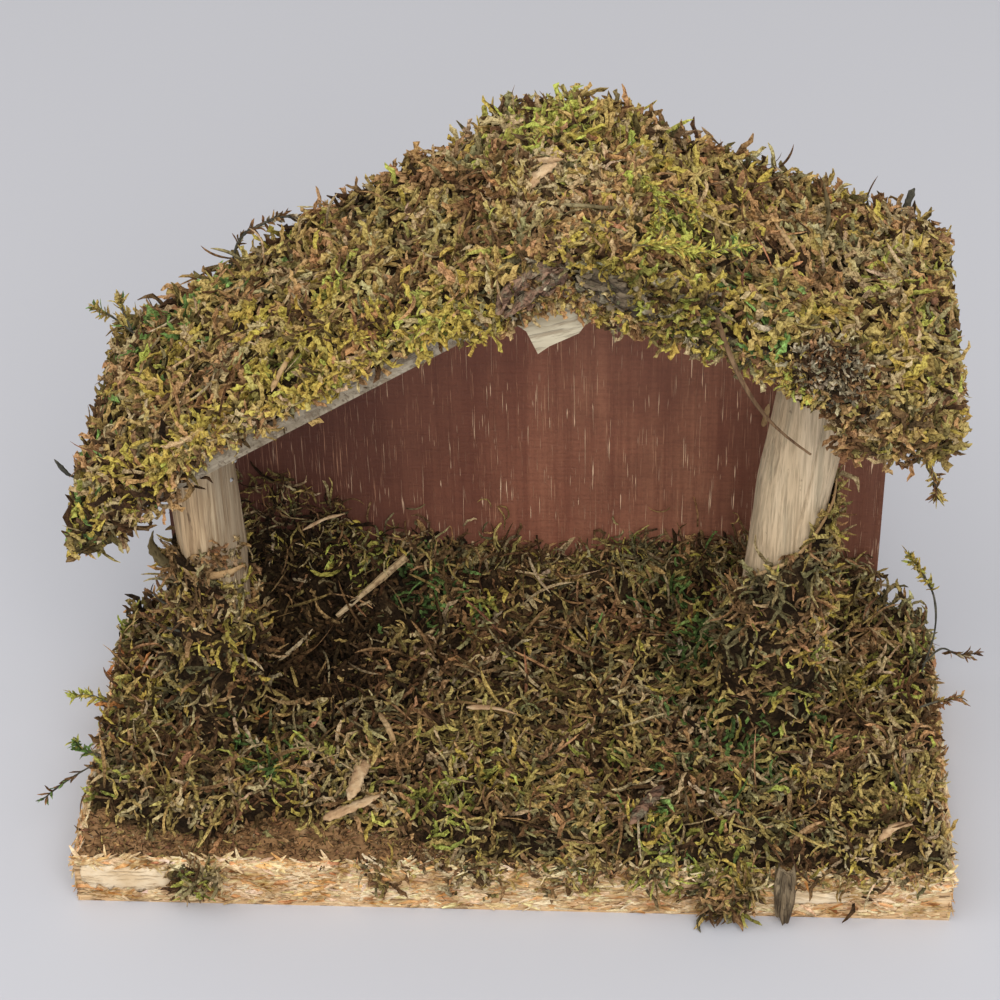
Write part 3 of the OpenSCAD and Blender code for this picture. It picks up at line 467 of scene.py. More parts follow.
# Post axis: the straight line from foot to head, bowed by half a sine wave
def postAxis(p, s):
    foot, head = np.array(p["foot"], float), np.array(p["head"], float)
    bow = np.stack([np.sin(math.pi * s), 0.5 * np.sin(math.radians(300) * s)], -1) * p["thick"] * p["bow"]
    return foot + (head - foot) * s[..., None] + bow


# Post radius: half the thickness with a slight taper, three flutes, one knot and a flared foot
def postRadius(p, s, turn):
    about = math.radians(p["turn"])
    flutes = 0.035 * np.sin(3 * turn + math.radians(120) * s + about)
    knot = 0.06 * np.exp(-((s - 0.62) / 0.07) ** 2) * np.cos(turn - about)
    flare = 0.035 * np.exp(-s / 0.06) * (1 + np.sin(2 * turn))
    return p["thick"] / 2 * (1 + 0.1 * (0.5 - s) + flutes + knot + flare)


# Post skin: rings round the axis whose height runs from the base to the roof's slope, with fine waves along
# the grain that wander with height, and two narrow drying cracks
def postPoints(p, steps, sides, gap):
    rng = np.random.default_rng(p["seed"])
    angles = np.linspace(0, 2 * math.pi, sides, endpoint=False)
    s, turn = np.meshgrid(np.linspace(0, 1, steps), angles, indexing="ij")
    relief = np.zeros_like(s)
    for count, share in posts["waves"]:
        drift = rng.uniform(0, 6, 3)
        wander = drift[0] + 1.6 * np.sin(drift[1] + 7 * s) + 0.5 * np.sin(drift[2] + 19 * s)
        relief += share * np.sin(count * turn + wander)
    relief *= p["fibre"] * posts["waveShare"]
    for middle, low, high in ((rng.uniform(3.6, 4.4), 0.1, 0.5), (rng.uniform(4.7, 5.6), 0.45, 0.95)):
        path = middle + 0.06 * np.sin(9 * s) + 0.03 * np.sin(31 * s)
        reach = np.clip((s - low) * 9, 0, 1) * np.clip((high - s) * 9, 0, 1)
        relief -= posts["crackDeep"] * reach * np.exp(-((turn - path) / posts["crackHalf"]) ** 2)
    radius = postRadius(p, s, turn) + relief
    axis = postAxis(p, s)
    x, y = axis[..., 0] + radius * np.cos(turn), axis[..., 1] + radius * np.sin(turn)
    low = stable["baseThick"] + gap
    skin = np.stack([x, y, low + (roofUnder(x) - gap - low) * s], -1)
    ends = [np.repeat(skin[k].mean(0, keepdims=True), sides, 0)[None] for k in (0, -1)]
    return np.concatenate([ends[0], skin, ends[1]])


branchFinishes = {
    "left": (baseCoat((90, 90, 12), [(164, 132, 98), (198, 168, 130), (220, 190, 150)], 0.2), [
        coat((90, 90, 30), (0.52, 0.7), 0.5, (150, 136, 116)),
        coat((40, 40, 8), (0.2, 0.4), 0.65, (142, 132, 114), within=(0, -63, -58)),
        coat((2400, 2400, 60), (0.5, 0.66), 0.4, (112, 88, 62), -0.08),
        coat((1300, 1300, 26), (0.46, 0.62), 0.5, (124, 96, 66), -0.12),
        coat((700, 700, 16), (0.56, 0.68), 0.5, (222, 198, 160), 0.06),
        coat((420, 420, 120), (0.66, 0.73), 0.7, (84, 62, 42), -0.1),
        coat((200, 200, 60), (0.5, 0.7), 0.5, (120, 98, 64), within=(2, 78, 62))]),
    "right": (baseCoat((70, 70, 14), [(184, 158, 126), (208, 184, 150), (226, 205, 174)], 0.2), [
        coat((600, 600, 11), (0.5, 0.66), 0.6, (148, 136, 112), -0.05),
        coat((2200, 2200, 70), (0.48, 0.64), 0.45, (132, 114, 88), -0.08),
        coat((160, 160, 90), (0.45, 0.6), 0.6, (124, 108, 72), within=(2, 56, 44)),
        coat((80, 80, 30), (0.58, 0.75), 0.5, (188, 158, 120)),
        coat((1500, 1500, 60), (0.5, 0.7), 0.35, (158, 140, 114), -0.06),
        coat((300, 300, 200), (0.45, 0.65), 0.6, (126, 120, 92), within=(2, 100, 114)),
        coat((520, 520, 240), (0.68, 0.74), 0.6, (96, 80, 62), -0.08)]),
}
for key, node in (("left", "left_post"), ("right", "right_post")):
    branchPaint = layerPaint(key + "BranchPaint", *branchFinishes[key], 0.8, 0.25)
    points = postPoints(posts[key], posts["steps"], posts["sides"], posts["gap"])
    makePiece(key + "Post", points, gridFaces(posts["steps"] + 2, posts["sides"], closeCols=True),
              branchPaint, (node,))
print("stable: posts turned")

# Beds: the dark felt of old moss and soil that the shoots grow from, darkened further as painted shade in the
# gaps
bedPaint = layerPaint("mossBedPaint", baseCoat(300, [(30, 22, 14), (54, 40, 26), (84, 66, 43)], 0.6), [
    coat(1200, (0.4, 0.65), 0.6, (36, 26, 17), -0.5)], 0.95, 0.1)

padShape = {"steps": 56, "endRun": 2.5, "edgeShare": 14, "lumps": ((0.22, 7, 21), (0.14, 2.6, 22))}


# Pad: at each place across the stable a closed loop runs over the top from front to back and returns
# underneath. Its thickness falls to nothing at all four borders, and is roughened by patches of two sizes.
def padPoints(across, front, back, floor, thick):
    x = across[:, None] * np.ones((1, padShape["steps"]))
    v = np.linspace(0, 1, padShape["steps"])[None, :]
    y = front(across)[:, None] * (1 - v) + back(across)[:, None] * v
    low = floor(x, y)
    end = np.clip(np.minimum(x - across[0], across[-1] - x) / padShape["endRun"], 0, 1) ** 0.5
    edge = np.clip(np.minimum(v, 1 - v) * padShape["edgeShare"], 0, 1) ** 0.5
    place = np.stack([x, y, low], -1)
    rough = 1
    for share, size, seed in padShape["lumps"]:
        rough = rough + share * patches(place, size, seed)
    high = low + thick(x, y) * end * edge * rough
    return np.concatenate([np.stack([x, y, high], -1), np.stack([x, y, low], -1)[:, ::-1]], 1)


def makePad(name, nodes, across, front, back, floor, thick):
    faces = gridFaces(len(across), 2 * padShape["steps"], closeCols=True)
    makePiece(name, padPoints(across, front, back, floor, thick), faces, bedPaint, nodes)


roofBed = {
    "leftEnd": -85.4, "rightEnd": 86.0, "steps": 190, "thick": 4.3, "lip": 0.8, "above": 0.35,
    "leftEdge": -82.4, "rightEdge": 83.3, "droop": 5.4, "droopRun": 3.5,
    "crestDip": 2.0, "crestHalf": 6, "cornerFrom": 82.8, "cornerCut": 5.0,
    "rearDip": 3.2, "dipX": 37, "dipHalf": 30, "dipFrom": 5, "dipRun": 22, "dipShare": 0.6,
}


# The roof moss starts along a straight front that falls back past the right eave's corner
def roofFrontLine(x):
    past = np.maximum(x - roofBed["cornerFrom"], 0)
    return stable["roofFront"] - roofBed["lip"] + roofBed["cornerCut"] * past


# Behind the right slope's middle the moss is thinner, by a dip that grows towards the rear
def rearDip(x, y):
    b = roofBed
    back = np.clip((y - b["dipFrom"]) / b["dipRun"], 0, 1)
    return b["rearDip"] * np.exp(-((x - b["dipX"]) / b["dipHalf"]) ** 4) * back


# The bed is thinner along the ridge, where the slopes meet, and where the moss dips
def roofBedThick(x, y):
    crest = roofBed["crestDip"] * np.exp(-((x - stable["ridgeX"]) / roofBed["crestHalf"]) ** 2)
    return roofBed["thick"] - crest - roofBed["dipShare"] * rearDip(x, y)


# It lies just over the boards and droops past both eaves
def roofBedFloor(x, y):
    past = np.maximum(roofBed["leftEdge"] - x, x - roofBed["rightEdge"]) / roofBed["droopRun"]
    return roofOver(x) + roofBed["above"] - roofBed["droop"] * np.clip(past, 0, 1)


makePad("roofMossBed", ("roof_moss_left", "ridge_moss", "roof_moss_right"),
        np.linspace(roofBed["leftEnd"], roofBed["rightEnd"], roofBed["steps"]), roofFrontLine,
        lambda x: np.full_like(x, stable["backFace"] + roofBed["lip"]), roofBedFloor, roofBedThick)

groundBed = {
    "end": 88.2, "steps": 260, "floor": 12.35, "thick": 4.2, "pileHigh": 20, "pileRun": 7, "gap": 0.3,
    "crestUp": 3.4, "bare": 15, "frontIn": 1.9, "backIn": 0.5, "leftRadius": 10.6, "rightRadius": 13.9,
    "pile": ([-0.5, -0.44, -0.4, -0.3, -0.2, -0.1, 0.05, 0.2, 0.34, 0.42, 0.45, 0.5],
             [0.05, 0.16, 0.52, 0.88, 0.96, 0.92, 0.84, 0.95, 0.85, 0.6, 0.3, 0.05]),
    "barePlaces": ([-0.5, -0.47, -0.44, -0.34, -0.31, -0.28, -0.2, -0.15, -0.1, -0.06, -0.02, 0.2, 0.5],
                   [0.95, 0.85, 0.55, 0.3, 0.62, 0.76, 0.7, 0.52, 0.34, 0.15, 0.05, 0, 0]),
}


# The front and back mats meet on the line between the feet of the posts
def seamLine(x):
    left, right = posts["left"]["foot"], posts["right"]["foot"]
    return np.interp(x, (left[0], right[0]), (left[1], right[1]))


# Half the width that a round mound takes from the bed at each place across the stable
def moundCut(x):
    left, right = (groundBed[key + "Radius"] ** 2 - (x - posts[key]["foot"][0]) ** 2
                   for key in ("left", "right"))
    return np.sqrt(np.maximum(0, np.maximum(left, right)))


# The front border falls back by a table of shares, so a strip of the board stays bare
def groundFront(x):
    bare = np.interp(x / stable["baseWidth"], *groundBed["barePlaces"])
    return -stable["baseDepth"] / 2 + groundBed["frontIn"] + groundBed["bare"] * bare


# The pile rises towards the wall along an exponential curve, by a table of shares across the stable
def pileHeight(x, y):
    share = np.interp(x / stable["baseWidth"], *groundBed["pile"])
    return groundBed["pileHigh"] * share * np.exp((y - stable["wallFront"]) / groundBed["pileRun"])


def groundFloor(x, y):
    return np.full_like(x, groundBed["floor"])


def groundThick(x, y):
    return groundBed["thick"] + pileHeight(x, y)


groundAcross = np.linspace(-groundBed["end"], groundBed["end"], groundBed["steps"])
groundEnds = {
    "Front": (groundFront, lambda x: seamLine(x) - groundBed["gap"] - moundCut(x)),
    "Back": (lambda x: seamLine(x) + groundBed["gap"] + moundCut(x),
             lambda x: np.full_like(x, stable["wallFront"] - groundBed["backIn"])),
}
for side, (front, back) in groundEnds.items():
    makePad("groundMoss" + side + "Bed", ("ground_moss_" + side.lower(),), groundAcross, front,
            back, groundFloor, groundThick)


# Tops of the collars as shares of the posts' heights, by the angle round the post
def leftCollarTop(a):
    return 0.64 - 0.3 * np.maximum(0, np.cos(a)) ** 1.5 + 0.03 * np.sin(2 * a + 0.87)


def rightCollarTop(a):
    return 0.47 + 0.14 * np.cos(a + 0.14) + 0.02 * np.sin(2 * a)


collars = {
    "left": {"mound": 9.4, "thin": 1.3, "top": leftCollarTop},
    "right": {"mound": 12.6, "thin": 1.6, "top": rightCollarTop},
    "steps": 26, "sides": 96, "clear": 0.4, "skinLeast": 0.5, "foot": 0.003, "lump": 0.5,
}


# Collar: a loop goes up the post's skin and comes down outside it, from a thin top to a broad mound at the
# foot
def collarPoints(key):
    p, c = posts[key], collars[key]
    steps, sides = collars["steps"], collars["sides"]
    turn = np.linspace(0, 2 * math.pi, sides, endpoint=False)[:, None]
    w = np.concatenate([np.linspace(0, 1, steps), np.linspace(1, 0, steps)])[None, :]
    outer = (np.arange(2 * steps) < steps)[None, :]
    s = collars["foot"] + (c["top"](turn) - collars["foot"]) * w
    skin = postRadius(p, s, turn * np.ones_like(s))
    place = np.stack([np.cos(turn) * 9 + 0 * s, np.sin(turn) * 9 + 0 * s, s * 90], -1)
    lumps = collars["lump"] * patches(place, 5, 31) * np.sin(math.pi * w)
    swell = c["mound"] + (skin + c["thin"] - c["mound"]) * w ** 0.5 + lumps
    radius = np.where(outer, np.maximum(swell, skin + collars["skinLeast"]), skin + collars["clear"])
    foot = np.array(p["foot"], float)
    middle = np.where(outer[..., None], foot + (postAxis(p, s) - foot) * w[..., None], postAxis(p, s))
    x, y = middle[..., 0] + radius * np.cos(turn), middle[..., 1] + radius * np.sin(turn)
    axisX = postAxis(p, s)[..., 0]
    low = stable["baseThick"] + posts["gap"]
    return np.stack([x, y, low + (roofUnder(axisX) - low) * s], -1)


collarFaces = gridFaces(collars["sides"], 2 * collars["steps"], closeRows=True, closeCols=True)
for key in ("left", "right"):
    makePiece(key + "PostMossBed", collarPoints(key), collarFaces, bedPaint,
              (key + "_post_moss",))


clumpGrid = (44, 52)


# Clump on an upright face: a grid that stands off the face by the product of two half sine waves
def clumpPoints(lowX, highX, lowZ, highZ, faceY, thick):
    u, v = np.meshgrid(np.linspace(0, 1, clumpGrid[0]), np.linspace(0, 1, clumpGrid[1] // 2), indexing="ij")
    x = lowX + (highX - lowX) * u
    z = lowZ(x) + (highZ(x) - lowZ(x)) * v
    full = np.sin(math.pi * u) * np.sin(math.pi * v)
    place = np.stack([x, np.full_like(x, faceY), z], -1)
    stand = thick * full ** 0.6 * (0.8 + 0.3 * patches(place, 5, 41))
    return np.concatenate([place - np.stack([0 * x, stand, 0 * x], -1), place[:, ::-1]], 1)


def makeClump(name, node, lowX, highX, lowZ, highZ, faceY, thick, paint):
    points = clumpPoints(lowX, highX, lowZ, highZ, faceY, thick)
    makePiece(name, points, gridFaces(*clumpGrid, closeCols=True), paint, (node,) if node else ())


wallClump = {"lowX": -76.6, "width": 39.6, "high": 25, "bedShare": 0.3, "thick": 1.8, "faceY": 36.7}


# Height at which the pile ends on the wall
def pileCrest(x):
    return groundBed["floor"] + groundBed["crestUp"] + pileHeight(x, np.full_like(x, wallClump["faceY"]))


# How far the moss on the wall stands above the pile: a share of a sine wave across the clump
def clumpRise(x):
    turn = 0.52 + 2.6 * (x - wallClump["lowX"]) / wallClump["width"]
    return wallClump["high"] * (0.45 + 0.55 * np.sin(turn))


makeClump("wallMossBed", "wall_moss", wallClump["lowX"],
          wallClump["lowX"] + wallClump["width"], pileCrest,
          lambda x: pileCrest(x) + clumpRise(x) * wallClump["bedShare"], wallClump["faceY"],
          wallClump["thick"], bedPaint)

# Lichen over the front of the right roof board: it hangs by half a sine wave and ends short of the board's
# top
edgeLichen = {"lowX": 53.4, "highX": 67.9, "hang": 2.9, "topDown": 1.2, "faceY": -16.7, "thick": 2.4}


def lichenLow(x):
    e = edgeLichen
    share = 0.4 + 0.6 * np.sin(math.pi * (x - e["lowX"]) / (e["highX"] - e["lowX"]))
    return roofUnder(x) - e["hang"] * share


lichenPaint = layerPaint("lichenPaint", baseCoat(260, [(62, 55, 45), (98, 90, 74), (140, 132, 112)], 1.0), [
    coat(800, (0.5, 0.64), 0.7, (44, 38, 30), -0.5),
    coat(500, (0.6, 0.7), 0.6, (150, 150, 96), 0.3)], 0.95, 0.1)
makeClump("roofEdgeLichenBed", "roof_edge_lichen", edgeLichen["lowX"], edgeLichen["highX"],
          lichenLow, lambda x: roofOver(x) - edgeLichen["topDown"], edgeLichen["faceY"], edgeLichen["thick"],
          lichenPaint)

barkGrid = (110, 60)


# Bark slab: a grid that runs along the slope and across it. Its outline narrows to both ends by a power of a
# sine wave and is made ragged by patches. Its front stands out in steps, as bark breaks in plates, with
# furrows along it.
def barkPoints(b):
    u, v = np.meshgrid(np.linspace(0, 1, barkGrid[0]), np.linspace(-1, 1, barkGrid[1] // 2), indexing="ij")
    along = (u - 0.5) * b["long"] * (1 + 0.07 * patches(np.stack([0 * u, 0 * u, v * 3], -1), 1.6, b["seed"]))
    rag = 1 + b["rag"] * patches(np.stack([along, 0 * u, np.sign(v) * 3], -1), 2.4, b["seed"] + 1)
    rise = v * b["high"] / 2 * np.sin(math.pi * np.clip(u, 0.003, 0.997)) ** 0.35 * rag
    plates = np.tanh(3 * patches(np.stack([along * 0.6, 0 * u, rise * 1.7], -1), 3.6, b["seed"] + 2))
    small = patches(np.stack([along * 0.8, 0 * u, rise * 1.8], -1), 1.1, b["seed"] + 3)
    furrow = np.maximum(0, patches(np.stack([along * 0.22, 0 * u, rise * 1.5], -1), 1.5, b["seed"] + 4))
    stand = b["thick"] * (1 - np.abs(v) ** 8) * (0.62 + 0.26 * plates + 0.1 * small - 0.42 * furrow)
    lean = math.radians(b["lean"])
    x = b["middle"][0] + along * math.cos(lean) - rise * math.sin(lean)
    z = b["middle"][1] + along * math.sin(lean) + rise * math.cos(lean)
    front = np.stack([x, b["face"] - np.maximum(stand, 0.12), z], -1)
    back = np.stack([x, np.full_like(x, b["face"] + 0.5), z], -1)
    return np.concatenate([front, back[:, ::-1]], 1)


gableBark = {
    "Left": {"middle": (5.2, 144.3), "long": 14.5, "high": 7.4, "lean": 39, "thick": 3.2, "face": -18.4,
             "rag": 0.2, "seed": 41},
    "Right": {"middle": (20.6, 143.4), "long": 16, "high": 6.6, "lean": -27, "thick": 3.0, "face": -18.4,
              "rag": 0.24, "seed": 47},
}
for side, slot in (("Left", "red_bark"), ("Right", "grey_bark")):
    node = "gable_bark_" + side.lower()
    makePiece("gableBark" + side, barkPoints(gableBark[side]), gridFaces(*barkGrid, closeCols=True),
              cadNodes[node].data.materials[0], (node,))
print("stable: moss beds laid")

# Moss shoots
shoot = {
    "rings": 7, "length": (3.2, 7.6), "halfWidth": (0.6, 1.2), "curl": 3.0, "lift": 0.2, "rise": 0.7,
    "ridge": 0.6, "flare": 0.65, "twist": 1.4, "blunt": 0.62, "flat": False,
}
strand = dict(shoot, length=(3.5, 9.0), halfWidth=(0.18, 0.42), curl=1.7, lift=0.03, ridge=0.7, flare=0.0,
              twist=0.5, blunt=0.35)
sliver = dict(shoot, rings=5, length=(2.0, 5.2), halfWidth=(0.35, 0.85), curl=0.6, lift=0.08, ridge=0.28,
              flare=0.15, twist=0.4, blunt=0.55, flat=True)


# A shoot: its spine is an arc that starts along the ground or a little off it and turns by its curl. Its
# section is a triangle. Two corners flare in turn and point forward, so the edges read as leaflets, and the
# third is a ridge. A flat one bends only in the surface that it lies on.
def growShoots(roots, normals, rng, s, lengthScale=1.0, liftMore=0.0, widthScale=1.0, headings=None,
               scatter=1.0):
    count, rings, flat = len(roots), s["rings"], s["flat"]
    t = np.linspace(0, 1, rings)[None, :, None]
    wander = rng.normal(size=(count, 3))
    if headings is not None:
        wander = headings + wander * scatter
    heading = unit(wander - (wander * normals).sum(1, keepdims=True) * normals)
    side = np.cross(normals, heading)
    lift = rng.normal(0, s["lift"], (count, 1)) + liftMore
    start = heading * np.cos(lift) + normals * np.sin(lift)
    upward = normals * np.cos(lift) - heading * np.sin(lift)
    about = rng.integers(0, 2, (count, 1)) * math.pi if flat else rng.uniform(0, 2 * math.pi, (count, 1))
    bendTo = side * np.cos(about) + upward * (np.sin(about) * s["rise"])
    bendTo = unit(bendTo - (bendTo * start).sum(1, keepdims=True) * start)
    crossing = np.cross(start, bendTo)
    start, bendTo, crossing = start[:, None], bendTo[:, None], crossing[:, None]
    curl = np.abs(rng.normal(0, s["curl"] * 0.5, (count, 1, 1))) + 0.15 + s["curl"] * 0.08
    length = rng.uniform(*s["length"], (count, 1, 1)) * lengthScale
    angle = curl * t
    spine = roots[:, None] + length / curl * (np.sin(angle) * start + (1 - np.cos(angle)) * bendTo)
    tangent = np.cos(angle) * start + np.sin(angle) * bendTo
    inward = np.cos(angle) * bendTo - np.sin(angle) * start
    facing = rng.normal(0, 0.3, (count, 1, 1)) if flat else rng.uniform(0, 2 * math.pi, (count, 1, 1))
    twist = facing + rng.normal(0, s["twist"], (count, 1, 1)) * t
    wing = inward * np.cos(twist) + crossing * np.sin(twist)
    raised = crossing * np.cos(twist) - inward * np.sin(twist)
    swell = s["blunt"] + (1 - s["blunt"]) * np.sin(math.pi * (0.1 + 0.85 * t))
    width = rng.uniform(*s["halfWidth"], (count, 1, 1)) * widthScale * swell * np.where(t > 0.99, 0.35, 1.0)
    turns = (np.arange(rings) % 2)[None, :, None]
    forward = tangent * width * s["flare"] * 0.8
    left = spine + wing * width * (1 - s["flare"] * (1 - turns)) + forward * turns
    right = spine - wing * width * (1 - s["flare"] * turns) + forward * (1 - turns)
    return np.stack([left, right, spine + raised * width * s["ridge"]], 2)


# Shifts each shoot so that no point of it passes the limits
def keptInside(points, low, high):
    flat = points.reshape(len(points), -1, 3)
    over = np.maximum(flat.max(1) - np.array(high), 0) - np.maximum(np.array(low) - flat.min(1), 0)
    return points - over[:, None, None, :]


limits = {"roof": ((-86.2, -21.5, 79.4), (86.6, 44.2, 151.4)), "ground": ((-91, -42.5, 0.4), (91, 38, 200))}


# Triangles of many closed three-cornered rods that all have as many rings
def rodFaces(count, rings):
    k = np.arange(rings - 1)[:, None] * 3
    c = np.arange(3)[None, :]
    n = (c + 1) % 3
    first = np.stack([k + c, k + n, k + 3 + n], -1).reshape(-1, 3)
    second = np.stack([k + c, k + 3 + n, k + 3 + c], -1).reshape(-1, 3)
    last = (rings - 1) * 3
    one = np.concatenate([first, second, [[0, 2, 1], [last, last + 1, last + 2]]])
    return (one[None] + (np.arange(count) * rings * 3)[:, None, None]).reshape(-1, 3)


mossShades = {
    "brown": (150, 119, 82), "umber": (106, 79, 52), "olive": (167, 147, 90), "khaki": (188, 167, 126),
    "sage": (128, 119, 84), "yellow": (188, 168, 84), "green": (160, 162, 80), "leaf": (92, 116, 62),
    "straw": (206, 184, 146), "bone": (220, 202, 166), "rust": (152, 110, 80), "grey": (146, 134, 108),
    "lichen": (168, 158, 132), "tan": (206, 160, 108), "orange": (184, 124, 74), "peatAndShade": (60, 44, 26),
}
tinting = {"patch": 26, "livelyGain": 1.3, "otherGain": -0.5, "tuftShare": 0.78, "channels": 0.04, "tip": 1.3}


# Colour of each shoot: a shade drawn by weights that patches shift, varied, darker towards the shoot's root
# and lighter at its tip, partly as old and new growth differ and partly as painted shade low in the mat and
# painted light on the tips. A spot is a place, its reach, a shade and how many of the shoots there take it. A
# colour whose largest channel passes the top is scaled back to it, so its hue stays.
def tintShoots(roots, rng, weights, spots, rings, dim=1.0, tuftOf=None, vary=0.3, dark=0.34, top=0.7):
    names, count = list(weights), len(roots)
    shadeOf = {name: np.array(tone(*mossShades[name])[:3]) for name in mossShades}
    lean = patches(roots, tinting["patch"], 5)
    share = np.array([weights[name] for name in names], float)[None, :] * np.ones((count, 1))
    lively = np.array([name in ("yellow", "green", "leaf") for name in names])
    share[:, lively] *= np.exp(tinting["livelyGain"] * lean)[:, None]
    share[:, ~lively] *= np.exp(tinting["otherGain"] * lean)[:, None]
    if tuftOf is not None:
        lot = np.random.default_rng(len(weights)).random(tuftOf.max() + 1)[tuftOf]
        draw = np.where(rng.random(count) < tinting["tuftShare"], lot, rng.random(count))[:, None]
    else:
        draw = rng.random((count, 1))
    pick = (np.cumsum(share / share.sum(1, keepdims=True), 1) < draw).sum(1)
    colour = np.array([shadeOf[name] for name in names])[np.clip(pick, 0, len(names) - 1)]
    for place, reach, name, chance in spots:
        near = np.exp(-((roots - np.array(place)) ** 2).sum(1) / (2 * reach ** 2)) * chance
        colour = np.where((rng.random(count) < near)[:, None], shadeOf[name], colour)
    colour = colour * np.exp(rng.normal(0, vary, (count, 1)))
    colour = colour * np.exp(rng.normal(0, tinting["channels"], (count, 3))) * dim
    # Darker at the root and lighter at the tip: the growth's own change, with painted shade and painted light
    fade = np.linspace(dark, tinting["tip"], rings)[None, :, None, None]
    colour = colour[:, None, None, :] * fade * np.ones((1, 1, 3, 1))
    return colour * np.minimum(1, top / np.maximum(colour.max(-1, keepdims=True), 1e-6))


# Paint for shoots and flakes: each one's own tint, multiplied by ramps over noises. The first noise gives the
# relief.
def tintPaint(name, noises, relief, roughness, gloss):
    paint, tree, shader = startPaint(name)
    colour = addNode(tree, "ShaderNodeAttribute", attribute_name="tint").outputs["Color"]
    grains = []
    for scales, rough, stops in noises:
        grains.append(noiseOf(tree, stretched(tree, scales), 3.0, rough))
        colour = blendOf(tree, 1.0, colour, rampOf(tree, grains[-1], stops), "MULTIPLY")
    finishPaint(tree, shader, colour, bumpOf(tree, grains[0], relief), roughness, gloss)
    return paint


# The ramp's dark specks are partly mottling and partly painted shade between the leaflets
mossPaint = tintPaint("mossShootPaint", [
    (1500, 0.7, [(0.34, (122, 110, 96)), (0.5, (220, 214, 205)), (0.62, (255, 255, 255))])], 0.6, 0.8, 0.16)


# Shoots at given roots, which stay inside the roof's or the ground's limits. The normals may be one direction
# for all.
def plantAt(name, node, roots, normals, rng, weights, slot, spots=(), dim=1.0, kind=shoot, tuftOf=None,
            **form):
    points = growShoots(roots, np.asarray(normals, float) * np.ones_like(roots), rng, kind, **form)
    points = keptInside(points, *limits["roof" if slot in ("roof_moss", "lichen") else "ground"])
    tints = tintShoots(roots, rng, weights, spots, kind["rings"], dim, tuftOf)
    replaced = (node,) if node else ()
    makePiece(name, points, rodFaces(len(roots), kind["rings"]), mossPaint, replaced, tints,
              smooth=False)


tuftShape = {"rise": 1.7, "sink": 0.9, "tilt": 0.25, "light": 1.1, "dark": 0.6}


# Shoots over a node, gathered in tufts: a shoot belongs to the nearest of the tufts' middles. It stands
# higher there with painted light, and lower towards the border with the next tuft with painted shade.
def plantMoss(name, node, count, seed, weights, slot, test, sink, spots=(), dim=1.0, kind=shoot, keep=None,
              tufts=60, high=0.0, **form):
    rng = np.random.default_rng(seed)
    roots, normals = scatterOn(node, count, rng, test)
    middles = scatterOn(node, tufts, np.random.default_rng(len(node)), test)[0]
    reach = np.linalg.norm(roots[:, None] - middles[None], axis=2)
    nearest = reach.argmin(1)
    close = np.sort(reach, 1)[:, :2]
    core = np.sqrt((close[:, 1] - close[:, 0]) / (close[:, 1] + close[:, 0]))[:, None]
    stand = (tuftShape["rise"] * core - tuftShape["sink"]) * high
    roots = roots + normals * (stand - rng.uniform(*sink, (count, 1)))
    if test is roofTop:
        roots[:, 2] -= rearDip(roots[:, 0], roots[:, 1])
    normals = unit(normals + rng.normal(0, tuftShape["tilt"], normals.shape))
    # Painted light over the tufts' middles and painted shade towards their borders
    dim = dim * (1 + (tuftShape["light"] * core - tuftShape["dark"]) * np.sign(high))
    if keep is not None:
        kept = keep(roots, rng)
        roots, normals, dim, nearest = roots[kept], normals[kept], dim[kept], nearest[kept]
    plantAt(name, node, roots, normals, rng, weights, slot, spots, dim, kind, nearest if high else None,
            **form)


# Roof moss: a lower layer lies flat in brown shades, dimmed as painted shade under the upper one, which is
# livelier
roofMoss = {
    "under": {"umber": 2, "brown": 4, "olive": 3},
    "upper": {"umber": 1.2, "brown": 2.6, "sage": 1.0, "olive": 4.6, "khaki": 2.2, "straw": 0.25,
              "yellow": 1.3, "green": 0.2},
    "spots": [
        ((31, -0.5, 143.7), 5, "green", 0.9), ((6.7, 35.5, 150.6), 4.5, "green", 0.7),
        ((-11, -20, 137), 4, "yellow", 0.9), ((-41, -8.5, 119.7), 10, "yellow", 0.35),
        ((-75, -18, 97.5), 6, "yellow", 0.15), ((40.6, 24.5, 139.5), 7, "yellow", 0.35),
        ((26.6, -18, 140), 5, "yellow", 0.6), ((40, -14, 133), 5, "yellow", 0.4),
        # The umber spot at (-2.8, -7) is painted shade where the moss has a gap
        ((74, 10.5, 124), 7, "green", 0.25), ((-2.8, -7, 144.3), 3.5, "umber", 0.8),
        ((8, 8, 150), 6, "khaki", 0.5), ((45, -10, 133), 6, "leaf", 0.2), ((-65, 0, 105), 8, "brown", 0.4),
        ((-14, -15, 135), 4, "green", 0.5), ((-84, -16, 84), 5, "leaf", 0.3),
        ((60, -17, 125), 4.5, "grey", 0.8), ((-76, 34, 100), 7, "leaf", 0.5),
        ((-62, 34, 110), 7, "leaf", 0.4), ((-86, 5, 90), 7, "leaf", 0.35), ((-82, -17, 80), 5, "green", 0.2),
        ((-4, -20, 136), 5, "yellow", 0.6), ((86, 5, 112), 8, "yellow", 0.12),
        ((56, 30, 134), 9, "umber", 0.35), ((2, 26, 149), 6, "green", 0.5),
    ],
    "mats": [("roofMossLeft", "roof_moss_left", 2500, 5000, 125), ("ridgeMoss", "ridge_moss", 700, 2100, 30),
             ("roofMossRight", "roof_moss_right", 1900, 4200, 100)],
}
roofShoot = dict(shoot, lift=0.07, rise=0.32)
underShoot = dict(shoot, rings=5)
sparse = {"barkX": (-1, 27), "barkY": -14.5, "barkOver": (3, 13), "edgeX": (-66, -5), "edgeY": -16.5,
          "edgeOver": 5.5, "stay": 0.18}


def roofTop(centres, normals):
    return (normals[:, 2] > -0.45).astype(float)


def between(values, span):
    return (values > span[0]) & (values < span[1])


